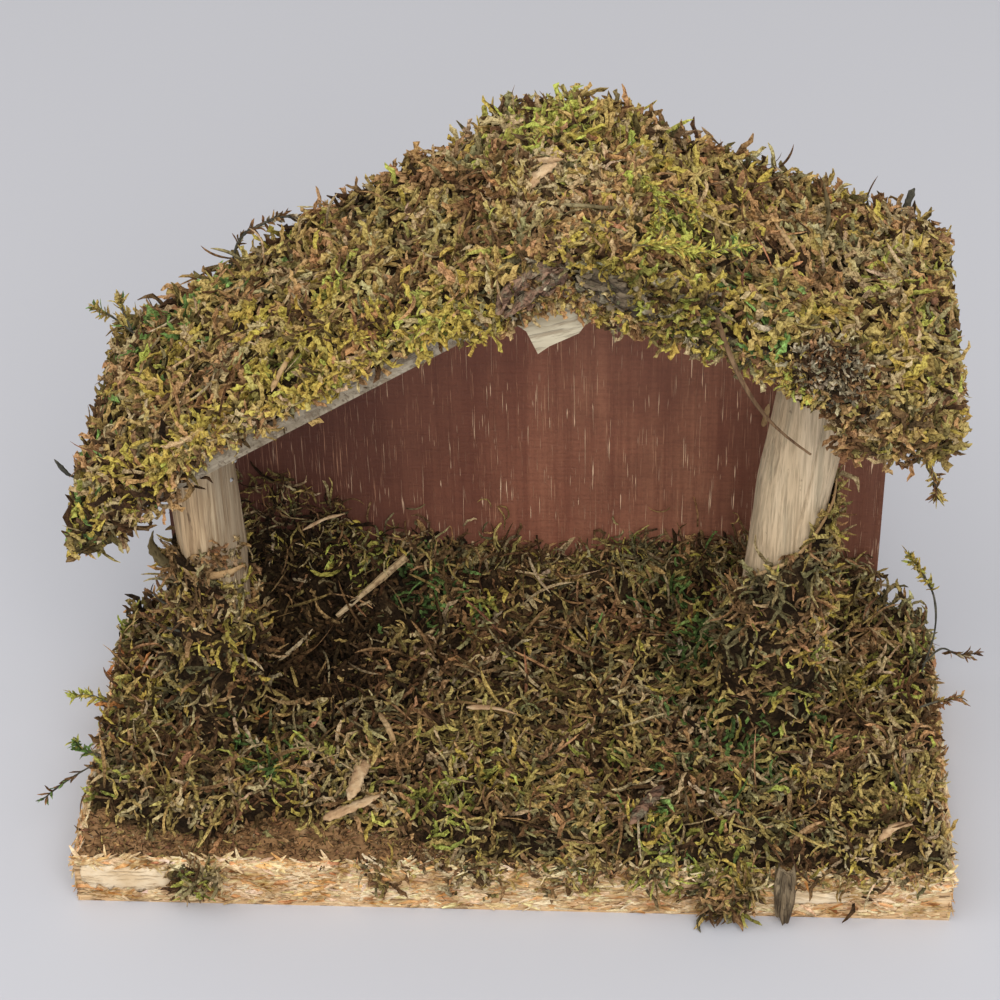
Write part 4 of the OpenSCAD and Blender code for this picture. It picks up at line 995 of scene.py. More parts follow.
# Most shoots stay away from the bark slabs and the left board's front edge, and all of them from the cut-off
# corner
def clearOfBark(roots, rng):
    s, (x, y, z) = sparse, roots.T
    over = z - roofUnder(x)
    bark = (y < s["barkY"]) & between(x, s["barkX"]) & between(over, s["barkOver"])
    edge = (y < s["edgeY"]) & between(x, s["edgeX"]) & (over < s["edgeOver"])
    corner = (x > roofBed["cornerFrom"]) & (y < roofFrontLine(x) + 1)
    return (~(bark | edge) | (rng.random(len(roots)) < s["stay"])) & ~corner


for name, node, under, upper, tufts in roofMoss["mats"]:
    seed = len(name) * 7 + upper
    # The lower layer's low dim is painted shade under the upper layer
    plantMoss(name + "Under", node, under, seed, roofMoss["under"], "roof_moss", roofTop, (1.8, 3.6), dim=0.7,
              kind=underShoot, keep=clearOfBark, tufts=tufts, high=0.8)
    plantMoss(name + "Upper", node, upper, seed + 1, roofMoss["upper"], "roof_moss", roofTop, (0.9, 2.6),
              roofMoss["spots"], 2.6, roofShoot, clearOfBark, tufts, 1.4)

# Moss that hangs over the boards' front edges at the gable, denser over the flake, and between the bark slabs
gableMoss = {
    "count": 640, "fromX": -7, "toX": 66, "frontY": -18.4, "depths": (-0.8, 1.2), "above": 1.5, "high": 2.6,
    "drop": 3.2, "least": 0.6, "dropX": 24, "dropReach": 13, "dense": 220, "denseX": 12, "denseReach": 6,
    "bareX": 11.6, "bareHalf": 1.8, "partX": 27,
    "leftWeights": {"brown": 3.4, "khaki": 2, "olive": 2, "tan": 0.6, "umber": 2, "grey": 1, "yellow": 0.3},
    "bits": ((0, 34), (-20.6, -19.4), 150), "cover": ((24, 38), (-19.6, -18.0), 260), "over": (1, 12),
}
rng, g = np.random.default_rng(91), gableMoss
run = rng.uniform(g["fromX"], g["toX"], g["count"])
run[:g["dense"]] = rng.normal(g["denseX"], g["denseReach"], g["dense"])
fall = g["drop"] * np.exp(-((run - g["dropX"]) / g["dropReach"]) ** 2) + g["least"]
rise = rng.uniform(-1, 1, g["count"])
rise = np.where((np.abs(run - g["bareX"]) < g["bareHalf"]) & (rise > 0), -rise, rise)
height = roofUnder(run) + g["above"] + np.where(rise < 0, rise * fall, rise * g["high"])
roots = np.stack([run, g["frontY"] + rng.uniform(*g["depths"], len(run)), height], -1)
leftOnes = run < g["partX"]
for name, chosen, weights in (("Left", leftOnes, g["leftWeights"]), ("Right", ~leftOnes, roofMoss["upper"])):
    plantAt("gableMoss" + name, None, roots[chosen], (0, -1, 0.1), rng, weights, "roof_moss",
            roofMoss["spots"][1:], 1.8, lengthScale=0.65, widthScale=0.85)


# Roots in front of the gable: anywhere in a span across and a span of depth, and so far over the roof's
# underside
def gableRoots(rng, spanX, spanY, count):
    x, y = rng.uniform(*spanX, count), rng.uniform(*spanY, count)
    return np.stack([x, y, roofUnder(x) + rng.uniform(*gableMoss["over"], count)], -1)


plantAt("barkMossBits", None, gableRoots(rng, *gableMoss["bits"]), (0, -1, 0.2), rng,
        {"olive": 2, "yellow": 1, "grey": 2, "lichen": 1, "umber": 1}, "roof_moss", lengthScale=0.4,
        widthScale=0.6)
plantAt("barkMossCover", None, gableRoots(rng, *gableMoss["cover"]), (0, -1, 0.3), rng,
        {"olive": 3, "yellow": 1, "grey": 2, "khaki": 1, "umber": 2, "green": 1}, "roof_moss",
        lengthScale=0.7)

# Moss that hangs below the board at the right eave's front corner, over its own felt
eaveHang = {
    "fromX": 61.5, "toX": 82.6, "lowZ": 106.2, "innerRun": 5, "innerUp": 5.5, "outerRun": 3, "outerUp": 2.2,
    "backY": -14.6, "thick": 3.4, "bedUp": 0.8, "bedOver": 0.6, "count": 520, "depths": (-18.4, -16.2),
    "weights": {"umber": 2.4, "brown": 3.4, "olive": 3, "khaki": 1, "sage": 1, "yellow": 0.4},
}


# Lower border of the hanging moss: level in the middle, and rising by squares towards both ends
def eaveLow(x):
    h = eaveHang
    inner = np.clip((h["fromX"] + h["innerRun"] - x) / h["innerRun"], 0, 1)
    outer = np.clip((x - h["toX"] + h["outerRun"]) / h["outerRun"], 0, 1)
    return h["lowZ"] + h["innerUp"] * inner ** 2 + h["outerUp"] * outer ** 2


makeClump("eaveHangBed", None, eaveHang["fromX"], eaveHang["toX"],
          lambda x: eaveLow(x) + eaveHang["bedUp"], lambda x: roofOver(x) + eaveHang["bedOver"],
          eaveHang["backY"], eaveHang["thick"], bedPaint)
run = rng.uniform(eaveHang["fromX"], eaveHang["toX"], eaveHang["count"])
deep = rng.uniform(*eaveHang["depths"], len(run))
roots = np.stack([run, deep, eaveLow(run) + (roofOver(run) + 1 - eaveLow(run)) * rng.random(len(run))], -1)
plantAt("eaveHangMoss", None, roots, (0, -1, -0.1), rng, eaveHang["weights"], "roof_moss", (), 1.8, roofShoot,
        lengthScale=0.85)

# Short shoots over the upper edge of the left board's front
eaveFringe = {"count": 520, "fromX": -67, "toX": -5, "depths": (-19.2, -17.4), "rise": (1.9, 4.8)}
run = rng.uniform(eaveFringe["fromX"], eaveFringe["toX"], eaveFringe["count"])
deep = rng.uniform(*eaveFringe["depths"], len(run))
roots = np.stack([run, deep, roofOver(run) + rng.uniform(*eaveFringe["rise"], len(run))], -1)
plantAt("eaveFringe", None, roots, (0, -0.8, 0.6), rng, roofMoss["upper"], "roof_moss", roofMoss["spots"],
        1.9, dict(roofShoot, rings=5), lengthScale=0.55, widthScale=0.85)

# A grey patch over the right post's top with a yellow rim at its lower left, both scattered over an oval
postPatch = {
    "count": 620, "middle": (58.4, -20.2, 127.4), "half": (7.4, 6.4), "depths": (-0.7, 0.5),
    "rimFrom": 0.72, "rimX": 59, "rimZ": 130,
    "grey": {"grey": 3, "lichen": 2, "umber": 2, "peatAndShade": 2, "brown": 1},
    "rim": {"yellow": 2, "green": 1.4, "olive": 1},
}
turn, out = rng.uniform(0, 2 * math.pi, postPatch["count"]), np.sqrt(rng.random(postPatch["count"]))
roots = np.array(postPatch["middle"]) + np.stack([
    np.cos(turn) * out * postPatch["half"][0], rng.uniform(*postPatch["depths"], len(out)),
    np.sin(turn) * out * postPatch["half"][1]], -1)
rim = (out > postPatch["rimFrom"]) & (roots[:, 0] < postPatch["rimX"]) & (roots[:, 2] < postPatch["rimZ"])
plantAt("postPatchGrey", None, roots[~rim], (0, -1, 0.3), rng, postPatch["grey"], "lichen", (), 1.3,
        underShoot, lengthScale=0.42, widthScale=0.62)
plantAt("postPatchRim", None, roots[rim], (0, -1, 0.3), rng, postPatch["rim"], "lichen", (), 1.6,
        lengthScale=0.5, widthScale=0.7)

# Shoots over the two seams between the roof's mats
seams = {"count": 420, "places": (0.5, 20.8), "reach": 1.0, "depths": (-17, 41), "over": (5.2, 7.2)}
seam = np.where(rng.random(seams["count"]) < 0.5, *seams["places"])
seam = seam + rng.normal(0, seams["reach"], len(seam))
deep = rng.uniform(*seams["depths"], len(seam))
height = roofOver(seam) + rng.uniform(*seams["over"], len(seam)) - rearDip(seam, deep)
roots = np.stack([seam, deep, height], -1)
plantAt("roofSeamMoss", None, roots, (0, 0, 1), rng, roofMoss["upper"], "roof_moss", roofMoss["spots"], 1.9,
        roofShoot)

# Ground moss: finer shoots than the roof's
groundShoot = dict(shoot, length=(3.0, 8.0), halfWidth=(0.36, 0.88), curl=3.6, lift=0.25, ridge=0.8,
                   flare=0.66)
groundMoss = {
    "under": {"umber": 3, "brown": 3, "olive": 1},
    "upper": {"umber": 2.2, "brown": 2.6, "sage": 1.6, "olive": 4.0, "khaki": 2.2, "straw": 0.35,
              "yellow": 0.5, "green": 0.2},
    "spots": [
        ((-22.6, 34, 26), 5, "leaf", 0.8), ((33, 34, 24), 4, "leaf", 0.8), ((-74, 8, 20), 6, "yellow", 0.6),
        ((64, 6, 40), 10, "yellow", 0.4), ((60, -4, 34), 6, "green", 0.4), ((83, 20, 20), 5, "green", 0.4),
        # The dark spot at (-44, 14) is painted shade in the low interior under the left slope
        ((-17, -23, 18), 6, "green", 0.4), ((47, -8, 20), 8, "leaf", 0.3), ((-44, 14, 20), 13, "peatAndShade", 0.88),
        ((-88, -18, 16), 4, "green", 0.6), ((-64, -2, 48), 8, "yellow", 0.4),
        ((75, -24, 18), 10, "olive", 0.5), ((-92, 2, 18), 4, "green", 0.5), ((0, 25, 24), 14, "umber", 0.3),
        # Painted shade in the left rear interior, as dark spots
        ((-52, 28, 30), 14, "peatAndShade", 0.75), ((-38, 26, 26), 9, "peatAndShade", 0.5), ((-88, 14, 18), 4, "orange", 0.4),
        ((-62, -4, 20), 4, "orange", 0.3), ((8, 8, 20), 14, "olive", 0.4), ((-52, -12, 20), 4, "leaf", 0.6),
        ((-14, -28, 18), 4, "green", 0.5), ((30, -26, 18), 6, "leaf", 0.35), ((61, 28, 30), 6, "green", 0.5),
        ((-21, 32, 26), 4, "leaf", 0.6), ((37, 24, 22), 7, "leaf", 0.6), ((36, -36, 15), 6, "green", 0.4),
        ((43, -6, 20), 5, "leaf", 0.4), ((18, -13, 20), 4, "green", 0.3),
    ],
    "mats": [("groundMossFront", "ground_moss_front", 1900, 5100, 210),
             ("groundMossBack", "ground_moss_back", 1900, 5100, 180)],
    "wraps": [("leftPostMoss", "left_post_moss", 1700), ("rightPostMoss", "right_post_moss", 2300),
              ("edgeMoss", "edge_moss", 420)],
}


def groundTop(centres, normals):
    seen = (normals[:, 2] > 0.3) | (np.abs(centres[:, 0]) > 84) | (centres[:, 1] < -20)
    return ((normals[:, 2] > -0.3) & seen).astype(float)


def anyFace(centres, normals):
    return np.ones(len(centres))


# Shoots of the ground moss's own shades and spots
def plantGround(name, node, roots, normals, rng, dim, kind, **form):
    plantAt(name, node, roots, normals, rng, groundMoss["upper"], "ground_moss", groundMoss["spots"], dim,
            kind, **form)


for name, node, under, upper, tufts in groundMoss["mats"]:
    seed = len(name) * 11 + upper
    # The lower layer's low dim is painted shade under the upper layer
    plantMoss(name + "Under", node, under, seed, groundMoss["under"], "ground_moss", groundTop, (1.6, 3.2),
              dim=0.5, kind=underShoot, tufts=tufts, high=0.6)
    plantMoss(name + "Upper", node, upper, seed + 1, groundMoss["upper"], "ground_moss", groundTop,
              (0.2, 2.0), groundMoss["spots"], 1.7, groundShoot, None, tufts, 0.9)
for name, node, count in groundMoss["wraps"]:
    plantMoss(name, node, count, len(name) * 5 + count, groundMoss["upper"], "ground_moss", anyFace,
              (0.6, 2.2), groundMoss["spots"], 1.4, dict(groundShoot, rings=6), None, 40, 0.4)

# Moss that hangs over the base's front edge in clumps
fringe = {"count": 900, "fromX": -32, "toX": 88, "depths": (-37.6, -36.6), "drop": 2.3, "deepest": 8,
          "clump": 9, "loose": 0.25}
rng = np.random.default_rng(83)
run = rng.uniform(fringe["fromX"], fringe["toX"], fringe["count"])
clumps = patches(np.stack([run, 0 * run, 0 * run], -1), fringe["clump"], 84)
stay = rng.random(len(run)) < fringe["loose"] + (1 - fringe["loose"]) * (clumps > 0.05)
run, clumps = run[stay], clumps[stay]
drop = rng.exponential(fringe["drop"], len(run)) * (0.25 + np.maximum(clumps, 0) * 1.6)
height = stable["baseThick"] + 0.6 - np.minimum(drop, fringe["deepest"])
roots = np.stack([run, rng.uniform(*fringe["depths"], len(run)), height], -1)
plantGround("baseFringe", None, roots, (0, -1, 0.2), rng, 1.4, dict(groundShoot, rings=5), lengthScale=0.7)
plantMoss("roofEdgeLichen", "roof_edge_lichen", 420, 77,
          {"peatAndShade": 3, "umber": 2, "grey": 1.4, "lichen": 1, "brown": 1.6, "olive": 1.4, "green": 0.5},
          "lichen", anyFace, (0.3, 2.0), kind=underShoot, lengthScale=0.5)
print("stable: moss shoots grown")

# Dead strands and slivers of wood lie among the shoots
groundStrand = dict(strand, length=(5.0, 14.0), halfWidth=(0.22, 0.5), curl=1.3)
litter = {
    "strands": {"brown": 4, "rust": 0.4, "khaki": 1.6, "straw": 0.5, "umber": 3, "olive": 2},
    "slivers": {"straw": 1.0, "bone": 0.3, "tan": 0.8, "rust": 0.6, "khaki": 2, "brown": 3, "umber": 1},
    "roof": [("roofLeft", "roof_moss_left", 200, 120), ("ridge", "ridge_moss", 60, 40),
             ("roofRight", "roof_moss_right", 150, 90)],
    "ground": [("groundFront", "ground_moss_front", 460, 120), ("groundBack", "ground_moss_back", 340, 70)],
}
for place, test, kind in (("roof", roofTop, strand), ("ground", groundTop, groundStrand)):
    for name, node, strands, slivers in litter[place]:
        plantMoss(name + "Strands", node, strands, strands + 5, litter["strands"], place + "_moss", test,
                  (-1.2, 0.3), kind=kind, keep=clearOfBark, dim=1.3)
        plantMoss(name + "Slivers", node, slivers, slivers + 9, litter["slivers"], place + "_moss", test,
                  (-0.9, 0.4), kind=sliver, keep=clearOfBark, dim=1.3)

# Thin strands that cling to the wall above the pile, ever fewer as they rise, and far more of them at the
# left
wallStrands = {"count": 1000, "half": 76, "depths": (35.2, 36.5), "reach": 3.2, "leftCount": 520,
               "leftDepths": (34.6, 36.5)}
thinShoot = dict(groundShoot, rings=6, halfWidth=(0.2, 0.55), length=(3.0, 9.0), lift=0.12)
rng, w = np.random.default_rng(61), wallStrands
run = rng.uniform(-w["half"], w["half"], w["count"])
deep = rng.uniform(*w["depths"], len(run))
roots = np.stack([run, deep, pileCrest(run) - 2 + rng.exponential(w["reach"], len(run))], -1)
plantGround("wallStrands", None, roots, (0, -1, 0), rng, 1.25, thinShoot)
run = wallClump["lowX"] + wallClump["width"] * rng.random(w["leftCount"])
deep = rng.uniform(*w["leftDepths"], len(run))
roots = np.stack([run, deep, pileCrest(run) + clumpRise(run) * rng.random(len(run)) ** 1.6], -1)
plantGround("wallMoss", "wall_moss", roots, (0, -1, 0), rng, 1.1, thinShoot)


# Smooth path through a few points: each span blends its four neighbours by the Catmull-Rom cubic
def smoothPath(points, steps):
    p = np.asarray(points, float)
    p = np.concatenate([2 * p[:1] - p[1:2], p, 2 * p[-1:] - p[-2:-1]])
    at = np.linspace(0, len(p) - 3 - 1e-6, steps)
    k, t = at.astype(int), (at % 1)[:, None]
    a, b, c, d = p[k], p[k + 1], p[k + 2], p[k + 3]
    first, second, third = c - a, 2 * a - 5 * b + 4 * c - d, 3 * b - a - 3 * c + d
    return 0.5 * (2 * b + first * t + second * t ** 2 + third * t ** 3)


# Rod along a path: each ring is an oval, wide across and thick square to it, that tapers by a share to both
# ends
def rodPoints(path, across, wide, thick, sides, taper, rough, seed):
    tangent = unit(np.gradient(path, axis=0))
    side = unit(across - (tangent * across).sum(1, keepdims=True) * tangent)
    normal = np.cross(tangent, side)
    share = np.linspace(0, 1, len(path))
    swell = np.interp(share, (0, 0.15, 0.8, 1), (taper[0], 1, 1, taper[1]))[:, None, None]
    turn = np.linspace(0, 2 * math.pi, sides, endpoint=False)[None, :, None]
    ring = np.cos(turn) * side[:, None] * wide / 2 + np.sin(turn) * normal[:, None] * thick / 2
    points = path[:, None] + ring * swell
    wave = 1 + rough * patches(points, 1.7, seed)[..., None]
    points = path[:, None] + (points - path[:, None]) * wave
    return np.concatenate([path[None, :1].repeat(sides, 1), points, path[None, -1:].repeat(sides, 1)])


def makeRod(name, points, steps, across, wide, thick, paint, taper=(0.3, 0.3), rough=0.12, sides=7):
    path = smoothPath(points, steps)
    makePiece(name, rodPoints(path, np.array(across, float), wide, thick, sides, taper, rough, len(name)),
              gridFaces(steps + 2, sides, closeCols=True), paint)


# A place on a post's skin: height share, angle and distance off the bark
def onPost(key, share, angle, off):
    p, s, a = posts[key], np.array(share, float), math.radians(angle)
    centre = postAxis(p, s)
    reach = postRadius(p, s, a) + off
    z = stable["baseThick"] + (roofUnder(centre[0]) - stable["baseThick"]) * s
    return [centre[0] + reach * math.cos(a), centre[1] + reach * math.sin(a), float(z)]


# Paints of the thin pieces: base coat, the coat over it, roughness and gloss
thinFinishes = {
    "bast": (baseCoat(120, [(148, 116, 78), (180, 146, 102), (204, 174, 130)], 0.2),
             coat(900, (0.5, 0.66), 0.5, (108, 80, 52), -0.1), 0.85, 0.2),
    "darkStem": (baseCoat(300, [(52, 52, 46), (78, 76, 66), (104, 98, 82)], 0.2),
                 coat(1500, (0.5, 0.66), 0.5, (40, 38, 34), -0.1), 0.9, 0.15),
    "leaf": (baseCoat(220, [(92, 80, 56), (122, 108, 76), (150, 136, 100)], 0.2),
             coat((1200, 1200, 300), (0.5, 0.66), 0.6, (70, 60, 40), -0.1), 0.9, 0.15),
    "shard": (baseCoat(200, [(150, 112, 82), (194, 160, 120), (224, 198, 158)], 0.2),
              coat(900, (0.5, 0.66), 0.4, (128, 92, 66), -0.1), 0.85, 0.2),
    "pale": (baseCoat((160, 160, 300), [(210, 180, 138), (232, 206, 168), (242, 222, 190)], 0.2),
             coat((200, 200, 1500), (0.52, 0.66), 0.5, (182, 146, 100), -0.2), 0.85, 0.2),
}
paints = {name: layerPaint(name + "Paint", under, [over], roughness, gloss)
          for name, (under, over, roughness, gloss) in thinFinishes.items()}
paints["redBark"] = cadNodes["gable_bark_left"].data.materials[0]

# Bast and a leaf on the left post
makeRod("leftBast", [onPost("left", 0.62, a, 1.3) for a in (-200, -165, -130, -95, -60, -30)], 40, (0, 0, 1),
        2.0, 0.5, paints["bast"])
makeRod("leftBastLow",
        [onPost("left", 0.57 + 0.02 * k, a, 1.4) for k, a in enumerate((-190, -150, -110, -70))], 34,
        (0, 0, 1), 1.0, 0.4, paints["bast"])
makeRod("leftCurledLeaf", [(-69.4, -2, 61.2), (-72, -1.4, 63.5), (-73.6, -1, 67), (-73, -0.8, 70)], 24,
        (0.3, 1, 0.2), 2.6, 0.45, paints["leaf"], (0.3, 0.5), 0.3)

# Moss on the left post under its band of bast, where the collar leaves the front free, and bits of it above
postMoss = {
    "middle": (-63.5, 1.5, 0),
    "Front": {"count": 300, "shares": (0.36, 0.575), "angles": (-150, -25), "off": 0.2, "dim": 1.4,
              "scale": 0.7, "weights": groundMoss["upper"], "spots": groundMoss["spots"]},
    "Bits": {"count": 70, "shares": (0.6, 0.7), "angles": (-110, -20), "off": 0.1, "dim": 1.0, "scale": 0.45,
             "weights": {"brown": 3, "khaki": 3, "tan": 1, "olive": 1}, "spots": ()},
}
rng = np.random.default_rng(64)
for part in ("Front", "Bits"):
    m = postMoss[part]
    places = zip(rng.uniform(*m["shares"], m["count"]), rng.uniform(*m["angles"], m["count"]))
    roots = np.array([onPost("left", share, angle, m["off"]) for share, angle in places])
    plantAt("leftPostMoss" + part, None, roots, unit((roots - postMoss["middle"]) * [1, 1, 0]), rng,
            m["weights"], "ground_moss", m["spots"], m["dim"], groundShoot, lengthScale=m["scale"])

# Bast on the right post, and a splinter on the wall
rightBast = ((0.66, 10), (0.6, -30), (0.52, -75), (0.47, -115), (0.44, -140))
makeRod("rightBast", [onPost("right", share, angle, 1.0) for share, angle in rightBast], 44, (0, 0, 1), 1.0,
        0.5, paints["bast"], (0.3, 0.2))
makeRod("wallSplinter", [(50.8, 36.2, 70.5), (51.2, 35.7, 73.5), (51.7, 36.1, 76.6)], 14, (1, 0, 0), 1.3, 0.5,
        paints["bast"], (0.3, 0.2))

# Long strands, twigs and wood shards: name, path, width, thickness, paint
longPieces = [
    ("roofStrandRight", [(50.1, 14.9, 136), (52.8, 9.4, 135), (55.7, 4.2, 133.4), (58.7, -2.9, 132)], 0.9,
     0.7, "bast"),
    ("roofTwigMid", [(10, -4.8, 153), (17, -2.6, 151), (24.5, 1.5, 147.4)], 0.9, 0.8, "leaf"),
    ("roofTwigLeft", [(-39.4, -5.4, 121.9), (-42.5, -13.1, 119.9), (-43.6, -17.5, 119)], 1.2, 0.6, "bast"),
    ("roofStrandLow", [(20, -15, 146.5), (28, -16, 144.5), (36, -17.5, 140)], 0.8, 0.6, "bast"),
    ("roofShardTop", [(3.5, 4.7, 149.6), (5.8, 8.2, 151.1), (8.9, 9.5, 152.6)], 2.4, 0.6, "shard"),
    ("roofShardLow", [(-1.2, 17.7, 146.8), (4.7, 13.4, 150.4), (10, 10.5, 152.8)], 1.3, 0.5, "shard"),
    ("roofChipLeft", [(-67, 18.2, 103.8), (-64, 13, 105.6), (-61.3, 7.7, 107.4)], 1.5, 0.5, "shard"),
    ("roofChipMid", [(-54, 7, 112.3), (-48.6, 1.4, 115.8)], 1.6, 0.6, "shard"),
    ("twigUpRight", [(60.4, 23, 126), (60.6, 22.6, 133), (59.3, 22, 140.6)], 0.9, 0.8, "leaf"),
    ("twigUpFar", [(76.8, 41, 119), (77.6, 41, 124.4), (78.6, 41, 127.2)], 1.6, 0.9, "darkStem"),
    ("leftEaveSliver", [(-85.5, 0, 83.5), (-88.4, -0.2, 84), (-91, -0.2, 88)], 2.0, 0.5, "darkStem"),
    ("groundShardA", [(-31, -15.8, 21.4), (-32, -21, 21.6), (-33.4, -27, 21)], 3.2, 0.7, "shard"),
    ("groundShardB", [(-38.4, -31, 19.6), (-33, -29.5, 21.2), (-27, -25.6, 21.4)], 2.6, 0.6, "shard"),
    ("groundShardC", [(31, -21, 21.2), (27.6, -26.5, 21.6), (24.4, -31.5, 20.4)], 3.0, 0.7, "redBark"),
    ("groundShardD", [(74.6, -33.5, 19.4), (78, -31, 21), (81.5, -30, 20.6)], 1.9, 0.8, "shard"),
    ("groundShardE", [(43.4, 12.2, 21.5), (46.5, 14.6, 22), (49.4, 16.8, 21.6)], 2.2, 0.6, "bast"),
    ("groundShardF", [(-63.4, 6.2, 23.5), (-62, 0, 24), (-61, -4.6, 22)], 1.4, 0.6, "bast"),
    ("groundShardH", [(-10.8, 0.9, 21.4), (-5, 0.2, 22), (0, -1, 21.5)], 1.7, 0.6, "shard"),
    ("groundShardI", [(-29.2, -1, 21), (-27, -6, 21.8), (-25, -10.8, 21)], 1.4, 0.6, "bast"),
    ("wallTwig", [(-47.4, 32, 43.5), (-43, 32.6, 46), (-38.2, 33, 47.5)], 0.8, 0.6, "shard"),
]
for name, points, wide, thick, paint in longPieces:
    slot = "roof_moss" if "oof" in name or "twig" in name or "Eave" in name else "dry_wood"
    makeRod(name, points, 26, (0.8, -0.5, 0.1), wide, thick, paints[paint], (0.35, 0.2), 0.2)
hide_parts("wood_chips")

# Sprigs that stick out: a thin stem with leaves on both sides, which point along it and outwards. Each has a
# name, a path, a thickness, its number of leaves, the shares of the path between which they stand, and their
# shades.
sprigs = [
    ("rightSprigStem", [(86, 14, 22), (88.4, 18, 30), (87.8, 20, 38), (84.6, 20, 45), (81.4, 20, 50)], 0.45,
     60, (0.55, 1), {"yellow": 2, "olive": 2, "green": 1}),
    ("rightSprigTip", [(86, 14, 24), (90, 17, 26), (94, 19, 22.6), (97.6, 20, 22)], 0.45, 26, (0.5, 1),
     {"umber": 3, "grey": 1}),
    ("rightSprigLow", [(85, 4, 21), (89, 5, 22), (94, 4.4, 23.6)], 0.5, 40, (0.3, 1),
     {"brown": 2, "rust": 1, "olive": 1}),
    ("leftSprigLow", [(-86, -12, 17), (-91.6, -14.6, 15), (-95.4, -18, 14.4), (-98.6, -22, 14)], 0.4, 18,
     (0.3, 1), {"leaf": 2, "umber": 2}),
    ("leftSprigHigh", [(-86, -14, 19), (-90, -15, 22), (-91.6, -15.4, 25)], 0.5, 40, (0.2, 1),
     {"leaf": 2, "green": 1}),
    ("leftSprigBack", [(-86, 2, 18), (-91, 3, 20.4), (-95.5, 3.6, 20)], 0.5, 46, (0.2, 1),
     {"green": 2, "yellow": 1}),
    ("rightHangingSprig", [(78, -18, 112), (79, -19, 107), (80.6, -19.2, 101), (81.4, -19, 97)], 0.5, 46,
     (0.2, 1), {"olive": 2, "umber": 1}),
    ("frondLoop", [(-58.8, 38, 108), (-56.4, 38.4, 115), (-51.8, 38.6, 118.4), (-47, 38.6, 120.4),
                   (-43.6, 38, 120)], 0.6,
     60, (0.15, 1), {"umber": 3, "grey": 1}),
    ("roofCornerSprig", [(-78, 30, 96.5), (-82, 30, 100.6), (-85.6, 29, 104)], 0.5, 56, (0.2, 1),
     {"leaf": 2, "olive": 2}),
    ("roofCornerTuft", [(-79, 30, 98), (-80.5, 31, 102), (-81, 31, 105)], 0.5, 40, (0.2, 1),
     {"leaf": 2, "olive": 2}),
    ("roofFrondA", [(24, 9, 150.6), (26.6, 5, 150), (28.2, -1.6, 149.2), (26.4, -9, 149.6)], 0.5, 130,
     (0.05, 1), {"green": 3, "yellow": 1.4}),
    ("roofFrondB", [(23.2, -13.8, 150.4), (29.1, -11.8, 149), (35.6, -9.4, 146), (44, -2, 142.4)], 0.5, 150,
     (0.02, 1), {"green": 3, "yellow": 1.6}),
    ("roofFrondC", [(29.6, 8.6, 147.6), (33.8, 6.6, 145.8), (35.6, 0.4, 144.9)], 0.5, 60, (0.05, 1),
     {"green": 1, "yellow": 2}),
    ("roofFrondD", [(-30.3, -9.5, 129.8), (-28.4, -14.2, 131.2), (-26.5, -18.6, 132)], 0.5, 60, (0.05, 1),
     {"yellow": 3, "olive": 2}),
    ("leftPostTwigA", [(-69, -4, 46), (-73, -4, 47.5), (-75.4, -4, 50)], 0.6, 14, (0.3, 1), {"umber": 2}),
    ("leftPostTwigB", [(-69, -4, 54), (-72, -3, 53), (-74.6, -2, 55)], 0.5, 10, (0.3, 1), {"umber": 2}),
]
leaflet = dict(shoot, rings=4, length=(1.6, 3.0), halfWidth=(0.25, 0.5), curl=1.0, lift=0.35, ridge=0.5,
               flare=0.3, twist=0.6, blunt=0.5)
leafPath = {"steps": 120, "lift": 0.5, "scatter": 0.35, "frondDim": 2.4, "dim": 1.7, "roofFrom": 90}
for number, (name, points, thick, leaves, (first, last), weights) in enumerate(sprigs):
    slot = "roof_moss" if points[0][2] > leafPath["roofFrom"] else "ground_moss"
    frond = "Frond" in name
    makeRod(name, points, 30, (0.2, 0.9, 0.3), thick, thick, paints["leaf" if frond else "darkStem"],
            (0.9, 0.4), 0.2, 6)
    rng = np.random.default_rng(200 + number)
    path = smoothPath(points, leafPath["steps"])
    at = (rng.uniform(first, last, leaves) * (leafPath["steps"] - 1)).astype(int)
    along = unit(np.gradient(path, axis=0))[at]
    away = unit(np.cross(along, rng.normal(size=(leaves, 3))))
    leafPoints = growShoots(path[at], away, rng, leaflet, liftMore=leafPath["lift"], headings=along,
                            scatter=leafPath["scatter"])
    tints = tintShoots(path[at], rng, weights, (), leaflet["rings"], leafPath["frondDim" if frond else "dim"])
    makePiece(name + "Leaves", leafPoints, rodFaces(leaves, leaflet["rings"]), mossPaint, (), tints,
              smooth=False)
print("stable: litter, bast and sprigs laid")

# Crumbs of chipboard and moss: more of them on the bare strip at the front left, and a narrow row along the
# right
crumbs = {
    "form": dict(shoot, rings=3, length=(0.5, 2.4), halfWidth=(0.12, 0.42), curl=0.6, lift=0.25, flare=0.2,
                 twist=0.6, blunt=0.6),
    "left": {"count": 2600, "span": (-89.2, 4), "dim": 1.15,
             "weights": {"rust": 2, "brown": 4, "umber": 2, "tan": 1, "olive": 1, "straw": 0.5}},
    "right": {"count": 700, "span": (4, 89), "depths": (-36.9, -34.6), "dim": 1.25,
              "weights": {"rust": 1, "brown": 3, "umber": 1, "tan": 2, "olive": 1, "straw": 1}},
    "frontY": -36.9, "under": 1.6, "over": 0.05,
}
rng = np.random.default_rng(71)
for name, part in (("baseCrumbs", crumbs["left"]), ("baseCrumbsRight", crumbs["right"])):
    run = rng.uniform(*part["span"], part["count"])
    if "depths" in part:
        deep = rng.uniform(*part["depths"], len(run))
    else:
        share = rng.random(len(run)) ** 0.8
        deep = crumbs["frontY"] + share * (groundFront(run) - crumbs["frontY"] + crumbs["under"])
    roots = np.stack([run, deep, np.full_like(run, stable["baseThick"] + crumbs["over"])], -1)
    plantAt(name, None, roots, (0, 0, 1), rng, part["weights"], "chipboard", (), part["dim"], crumbs["form"])

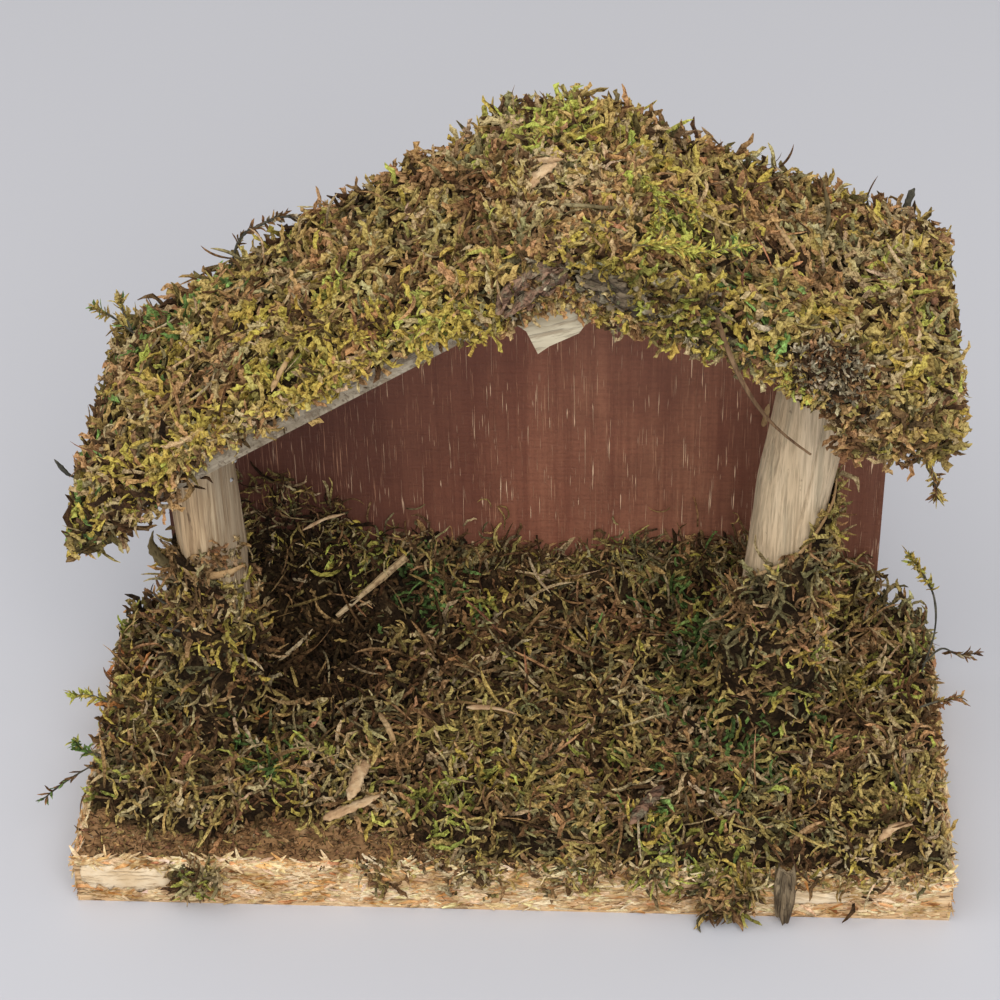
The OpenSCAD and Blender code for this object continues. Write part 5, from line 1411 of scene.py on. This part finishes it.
# Chipboard flakes that stand a little off the base's sawn edges: piece, count, seed, start, run, outward
# direction and the heights between which they lie
half, deep = stable["baseWidth"] / 2, stable["baseDepth"] / 2
sawn, rim = (0.7, 11.9), (11.7, 12.15)
flakes = {
    "weights": {"straw": 6, "bone": 2.4, "tan": 1.3, "khaki": 2.2, "brown": 1.3, "rust": 0.1},
    "form": dict(sliver, rings=3, length=(1.2, 4.4), halfWidth=(0.22, 0.62), curl=0.25, lift=0.1, ridge=0.45,
                 flare=0.1, blunt=0.85),
    "tint": {"dim": 2.25, "vary": 0.2, "dark": 0.8, "top": 0.95},
    "edges": [
        ("Front", 4200, 51, (-half + 2, -deep, 0), (2 * half - 4, 0, 0), (0, -1, 0), sawn),
        ("TopFront", 1300, 56, (-half + 1, -deep + 0.3, 0), (2 * half - 2, 0, 0), (0, -0.5, 0.8), rim),
        ("TopLeft", 420, 57, (-half + 0.3, -deep + 1, 0), (0, 2 * deep - 2, 0), (-0.5, 0, 0.8), rim),
        ("TopRight", 420, 58, (half - 0.3, -deep + 1, 0), (0, 2 * deep - 2, 0), (0.5, 0, 0.8), rim),
        ("Left", 1700, 52, (-half, -deep + 2, 0), (0, 2 * deep - 4, 0), (-1, 0, 0), sawn),
        ("Right", 1700, 53, (half, -deep + 2, 0), (0, 2 * deep - 4, 0), (1, 0, 0), sawn),
        ("BackLeft", 260, 54, (-half + 1.5, deep, 0), (10.5, 0, 0), (0, 1, 0), sawn),
        ("BackRight", 260, 55, (half - 12, deep, 0), (10.5, 0, 0), (0, 1, 0), sawn),
    ],
}
flakePaint = tintPaint("flakePaint", [
    ((900, 900, 2600), 0.7, [(0.3, (176, 160, 140)), (0.6, (255, 255, 255))]),
    ((110, 110, 160), 0.6, [(0.36, (190, 166, 134)), (0.52, (255, 255, 255))])], 0.3, 0.85, 0.15)
for name, count, seed, start, along, outside, heights in flakes["edges"]:
    rng = np.random.default_rng(seed)
    run, height = rng.random((count, 1)), rng.uniform(*heights, (count, 1))
    outside = np.array(outside, float) * np.ones((count, 1))
    off = outside * rng.uniform(-0.35, 0.1, (count, 1))
    roots = np.array(start, float) + np.array(along, float) * run + np.array([0, 0, 1.0]) * height + off
    heading = unit(np.array(along, float)) * rng.choice([-1, 1], (count, 1))
    points = growShoots(roots, outside, rng, flakes["form"], headings=heading, scatter=0.3)
    tints = tintShoots(roots, rng, flakes["weights"], (), flakes["form"]["rings"], **flakes["tint"])
    makePiece("baseFlakes" + name, keptInside(points, *limits["ground"]),
              rodFaces(count, flakes["form"]["rings"]), flakePaint, (), tints, smooth=False)
makeRod("baseWideFlake", [(-88.6, -37.1, 7.6), (-82, -37.3, 7.9), (-74, -37.2, 7.4), (-67.6, -37.1, 8.4)], 40,
        (0, 0, 1), 6.4, 0.9, paints["pale"], (0.7, 0.2), 0.3, 12)
makeRod("baseWideFlakeRight", [(56, -37.1, 6.4), (63, -37.3, 6.0), (71, -37.1, 6.8)], 30, (0, 0, 1), 3.4, 0.9,
        paints["pale"], (0.3, 0.2), 0.3, 12)
print("stable: chipboard flakes laid")
